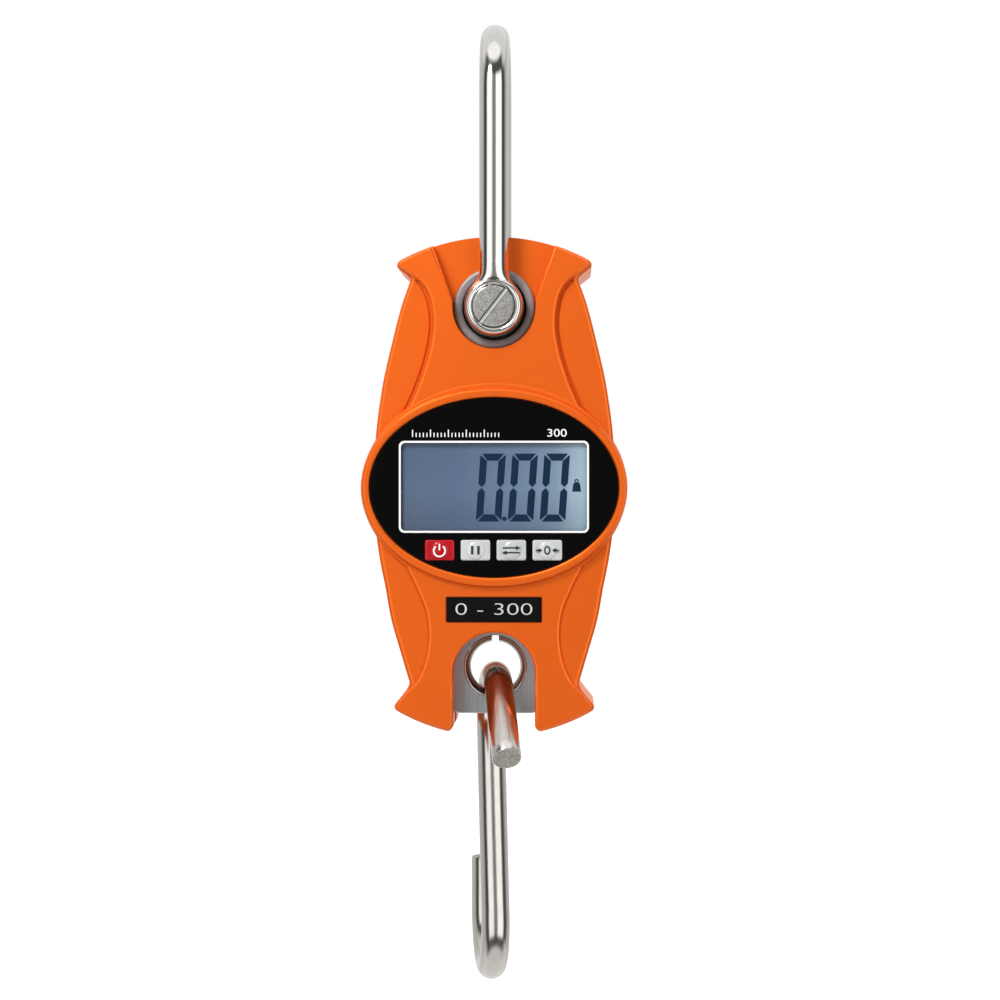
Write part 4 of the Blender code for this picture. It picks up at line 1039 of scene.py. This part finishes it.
def build_scale_print():
    """A small printed graduation and the number 300 over the window, in place of any wording."""
    marks = []
    foot = 17.2
    for i in range(25):
        x = -22.2 + i * 0.98
        tick = rectangle(x - 0.14, x + 0.14, foot, foot + (1.15 if i % 5 else 2.0))
        marks.append(prism("tick", tick, *PANEL_PRINT))
    dress(merge("graduation_print", marks), WHITE_PRINT, "housing", "backlight_white")
    number = lettering("capacity_print", "300", 3.0, 17.2, 18.2, PRINT_FOOT - PRINT_THICKNESS / 2, 1.25)
    dress(number, WHITE_PRINT, "housing", "backlight_white")


def key_cap(name, x):
    """A key with a rounded rim and a round pressing dome on its face, over a flange and a stem."""
    width, height = 8.1, 5.6
    profile = [(0.0, -12.3), (0.0, -16.5), (0.06, -16.68), (0.2, -16.8), (0.42, -16.86), (0.7, -16.88)]
    cap = loft(name + "_cap", rounded_rect(x, KEY_LEVEL, width, height, 0.6), profile)
    dome = [(0.0, -16.2), (2.55, -16.2), (2.55, -16.82), (2.47, -16.93), (2.3, -17.04), (2.0, -17.15),
            (1.5, -17.25), (0.8, -17.32), (0.0, -17.34)]
    join(cap, lathe("dome", dome, KEY_LEVEL - 0.15, 64, x, False))
    flange = rounded_rect(x, KEY_LEVEL, width + 1.3, height + 1.0, 0.9)
    join(cap, prism("flange", flange, -11.7, -12.6))
    join(cap, prism("stem", circle(x, KEY_LEVEL, 1.3, 24), -11.2, -12.4))
    return shade(cap, 30.0)


def band(points, width=STROKE, thickness=MARK_DEPTH):
    """A stroke of even width along a list of (x, level) points on a key's face."""
    left = []
    right = []
    for i, point in enumerate(points):
        ahead = Vector(points[min(i + 1, len(points) - 1)]) - Vector(points[max(i - 1, 0)])
        side = Vector((-ahead.y, ahead.x)).normalized() * width / 2
        left.append(tuple(Vector(point) + side))
        right.append(tuple(Vector(point) - side))
    return prism("stroke", left + right[::-1], MARK_FOOT, MARK_FOOT - thickness)


def arrow(x, level, reach):
    """A small solid arrow head whose point is reach away from x."""
    head = [(x, level + 0.62), (x + reach, level), (x, level - 0.62)]
    return prism("head", head, MARK_FOOT, MARK_FOOT - MARK_DEPTH)


def key_marks(name, x, z):
    """The strokes of a key's pictogram: power, two bars, two arrows, or a zero between arrows."""
    if name == "power_key":
        turns = [math.radians(a) for a in range(38, 323, 6)]
        ring = [(x + 1.55 * math.sin(a), z - 0.15 + 1.55 * math.cos(a)) for a in turns]
        deep = MARK_DEPTH + PRINT_THICKNESS
        return [band(points, STROKE, deep) for points in (ring, [(x, z), (x, z + 1.75)])]
    if name == "hold_key":
        return [band([(x + side, z - 1.15), (x + side, z + 1.15)], 0.7) for side in (-0.85, 0.85)]
    if name == "unit_key":
        return [band([(x - 2.3, z + 0.65), (x + 1.4, z + 0.65)]), arrow(x + 1.3, z + 0.65, 1.2),
                band([(x - 1.4, z - 0.65), (x + 2.3, z - 0.65)]), arrow(x - 1.3, z - 0.65, -1.2)]
    marks = [band(arc(x, z, 0.7, 1.0, 0.0, 360.0, 30))]
    for side in (-1, 1):
        marks.append(band([(x + side * 3.1, z), (x + side * 2.2, z)], 0.4))
        marks.append(arrow(x + side * 2.3, z, -side * 1.0))
    return marks


def build_keys():
    """The four keys, each with a pictogram raised a little from its face."""
    for name, x in zip(KEYS, KEY_X):
        red = name == "power_key"
        slot_name = "red_key_plastic" if red else "silver_key_plastic"
        dress(key_cap(name, x), RED if red else SILVER, name, slot_name, name)
        mark = merge(name + "_mark", key_marks(name, x, KEY_LEVEL))
        dress(mark, WHITE_PRINT if red else DARK_PRINT, name, "backlight_white" if red else "label_black")


def build_label():
    plate = rounded_rect(0.0, LABEL_LEVEL, 26.1, 6.9, 0.3)
    label = soft_plate("label_plate", plate, -15.05, -15.35, 0.08, 0.02, 3)
    dress(shade(label, 30.0), LABEL_BLACK, "housing", "label_black", "capacity_label")
    number = lettering("label_number", "0 - 300", 4.7, 0.0, LABEL_LEVEL, -15.365, 1.6, -0.07)
    dress(number, LABEL_PRINT, "housing", "backlight_white")


# ---- carried-over nodes ----
KEPT = (        # the start of a node's name, and its material; a later row wins
    ("battery_", BATTERY), ("battery_door", ORANGE), ("battery_door_screw", ZINC),
    ("battery_lead_red", WIRE_RED), ("battery_lead_black", WIRE_BLACK), ("battery_tray", MATTE_BLACK),
    ("gauge_cable", WIRE_GREY), ("strain_gauge_", FOIL), ("load_cell", PLATE), ("cover_gasket", RUBBER),
    ("pin_seal_", RUBBER), ("zebra_strip", RUBBER), ("lcd_glass", LCD_PICTURE), ("lcd_backlight", DIFFUSER),
    ("main_board", BOARD), ("controller_chip", CHIP), ("converter_chip", CHIP), ("buzzer", CHIP),
    ("key_switch_", CHIP), ("contact_", NICKEL), ("cover_screw_", ZINC), ("board_screw_", ZINC),
    ("cell_screw_", ZINC))


# ---- studio ----
def build_floor():
    bpy.ops.mesh.primitive_grid_add(x_subdivisions=8, y_subdivisions=8, size=30.0,
                                    location=(0.0, 0.0, cad_low[2] - 0.045))
    floor = bpy.context.object
    floor.name = "studio_floor"
    g = Graph("pale_floor")
    g.colour(g.ramp(g.noise(1.5, 2.0), [(0.3, (0.90, 0.90, 0.90)), (0.7, (0.92, 0.92, 0.92))]))
    g.set(Roughness=0.9, Emission_Color=(1.0, 1.0, 1.0, 1.0), Emission_Strength=0.28)
    floor.data.materials.append(g.material)
    floor.visible_glossy = False
    floor.visible_diffuse = False


def build_world():
    """A white studio as polished metal sees it.

    Round the horizon are two tall soft boxes beside the camera, dark gaps and a pale grey back.
    The boxes end in dark bands above and below, and beyond those the studio is light grey.
    """
    world = bpy.data.worlds.new("studio")
    world.use_nodes = True
    bpy.context.scene.world = world
    w = Nodes(world.node_tree)

    def greys(value, stops):
        return w.ramp(value, [(at, (tone, tone * 0.995, tone * 0.985)) for at, tone in stops])

    split = w.node("ShaderNodeSeparateXYZ")
    w.link(w.node("ShaderNodeTexCoord").outputs["Generated"], split.inputs["Vector"])
    ahead = w.node("ShaderNodeMath", {1: -1.0}, operation="MULTIPLY")
    w.link(split.outputs["Y"], ahead.inputs[0])
    angle = w.node("ShaderNodeMath", operation="ARCTAN2")
    w.link(split.outputs["X"], angle.inputs[0])
    w.link(ahead.outputs["Value"], angle.inputs[1])
    around = w.span(angle.outputs["Value"], -math.pi, math.pi)
    stops = [(-180, 0.90), (-120, 0.80), (-92, 0.72), (-78, 0.10), (-58, 0.07), (-50, 1.75), (-16, 1.75),
             (-7, 0.34), (14, 0.36), (22, 1.85), (62, 1.85), (70, 0.08), (92, 0.12), (108, 0.68),
             (130, 0.80), (180, 0.90)]
    ring = greys(around, [((degrees + 180) / 360, tone) for degrees, tone in stops])
    upright = w.span(split.outputs["Z"], -1.0, 1.0)
    bands = greys(upright, [(0.0, 1.0), (0.10, 0.95), (0.155, 0.13), (0.27, 0.07), (0.70, 0.07),
                            (0.86, 0.10), (0.91, 1.6), (1.0, 1.5)])
    middle = greys(upright, [(0.0, 1.0), (0.235, 1.0), (0.285, 0.0), (0.71, 0.0), (0.765, 1.0), (1.0, 1.0)])
    front = greys(around, [(0.0, 0.0), (0.22, 0.0), (0.30, 1.0), (0.70, 1.0), (0.78, 0.0), (1.0, 0.0)])
    ends = w.mix(front, (1.05, 1.05, 1.04, 1.0), bands)
    room = w.mix(middle, ring, ends)
    seen = w.node("ShaderNodeLightPath").outputs["Is Camera Ray"]
    w.link(w.mix(seen, room, (1.0, 1.0, 1.0, 1.0)), w.tree.nodes["Background"].inputs["Color"])


def add_area(name, place, size, power, aim, in_reflections=True):
    data = bpy.data.lights.new(name, "AREA")
    data.size = size
    data.energy = power
    lamp = bpy.data.objects.new(name, data)
    bpy.context.scene.collection.objects.link(lamp)
    lamp.location = place
    lamp.rotation_euler = (Vector(aim) - Vector(place)).to_track_quat("-Z", "Y").to_euler()
    lamp.visible_glossy = in_reflections


def build_camera():
    """Level with the reference line, a little to the right of square on."""
    aim = Vector((1.2 * MM, 0.0, REFERENCE_Z))
    side = math.radians(1.75)
    distance = 0.666
    data = bpy.data.cameras.new("camera")
    data.lens = 85.7
    data.clip_start = 0.01
    camera = bpy.data.objects.new("camera", data)
    bpy.context.scene.collection.objects.link(camera)
    camera.location = aim + Vector((math.sin(side), -math.cos(side), 0.0)) * distance
    camera.rotation_euler = (math.radians(90.0), 0.0, side)
    bpy.context.scene.camera = camera


build_front_cover()
build_rear_cover()
build_eye_rings()
build_shackle()
build_pin()
build_hook()
build_liner()
build_display()
build_keys()
build_label()
for start, material in KEPT:
    for node_name in NODES:
        if node_name.startswith(start):
            redress(node_name, material)
build_floor()
build_world()
build_camera()
add_area("top_left_light", (-0.19, -0.33, 0.20), 0.12, 1.9, (0.0, 0.0, -0.10))
add_area("rear_fill", (0.22, 0.40, 0.14), 0.25, 1.7, (0.0, 0.0, -0.12), False)
bpy.context.scene.view_settings.view_transform = "Standard"
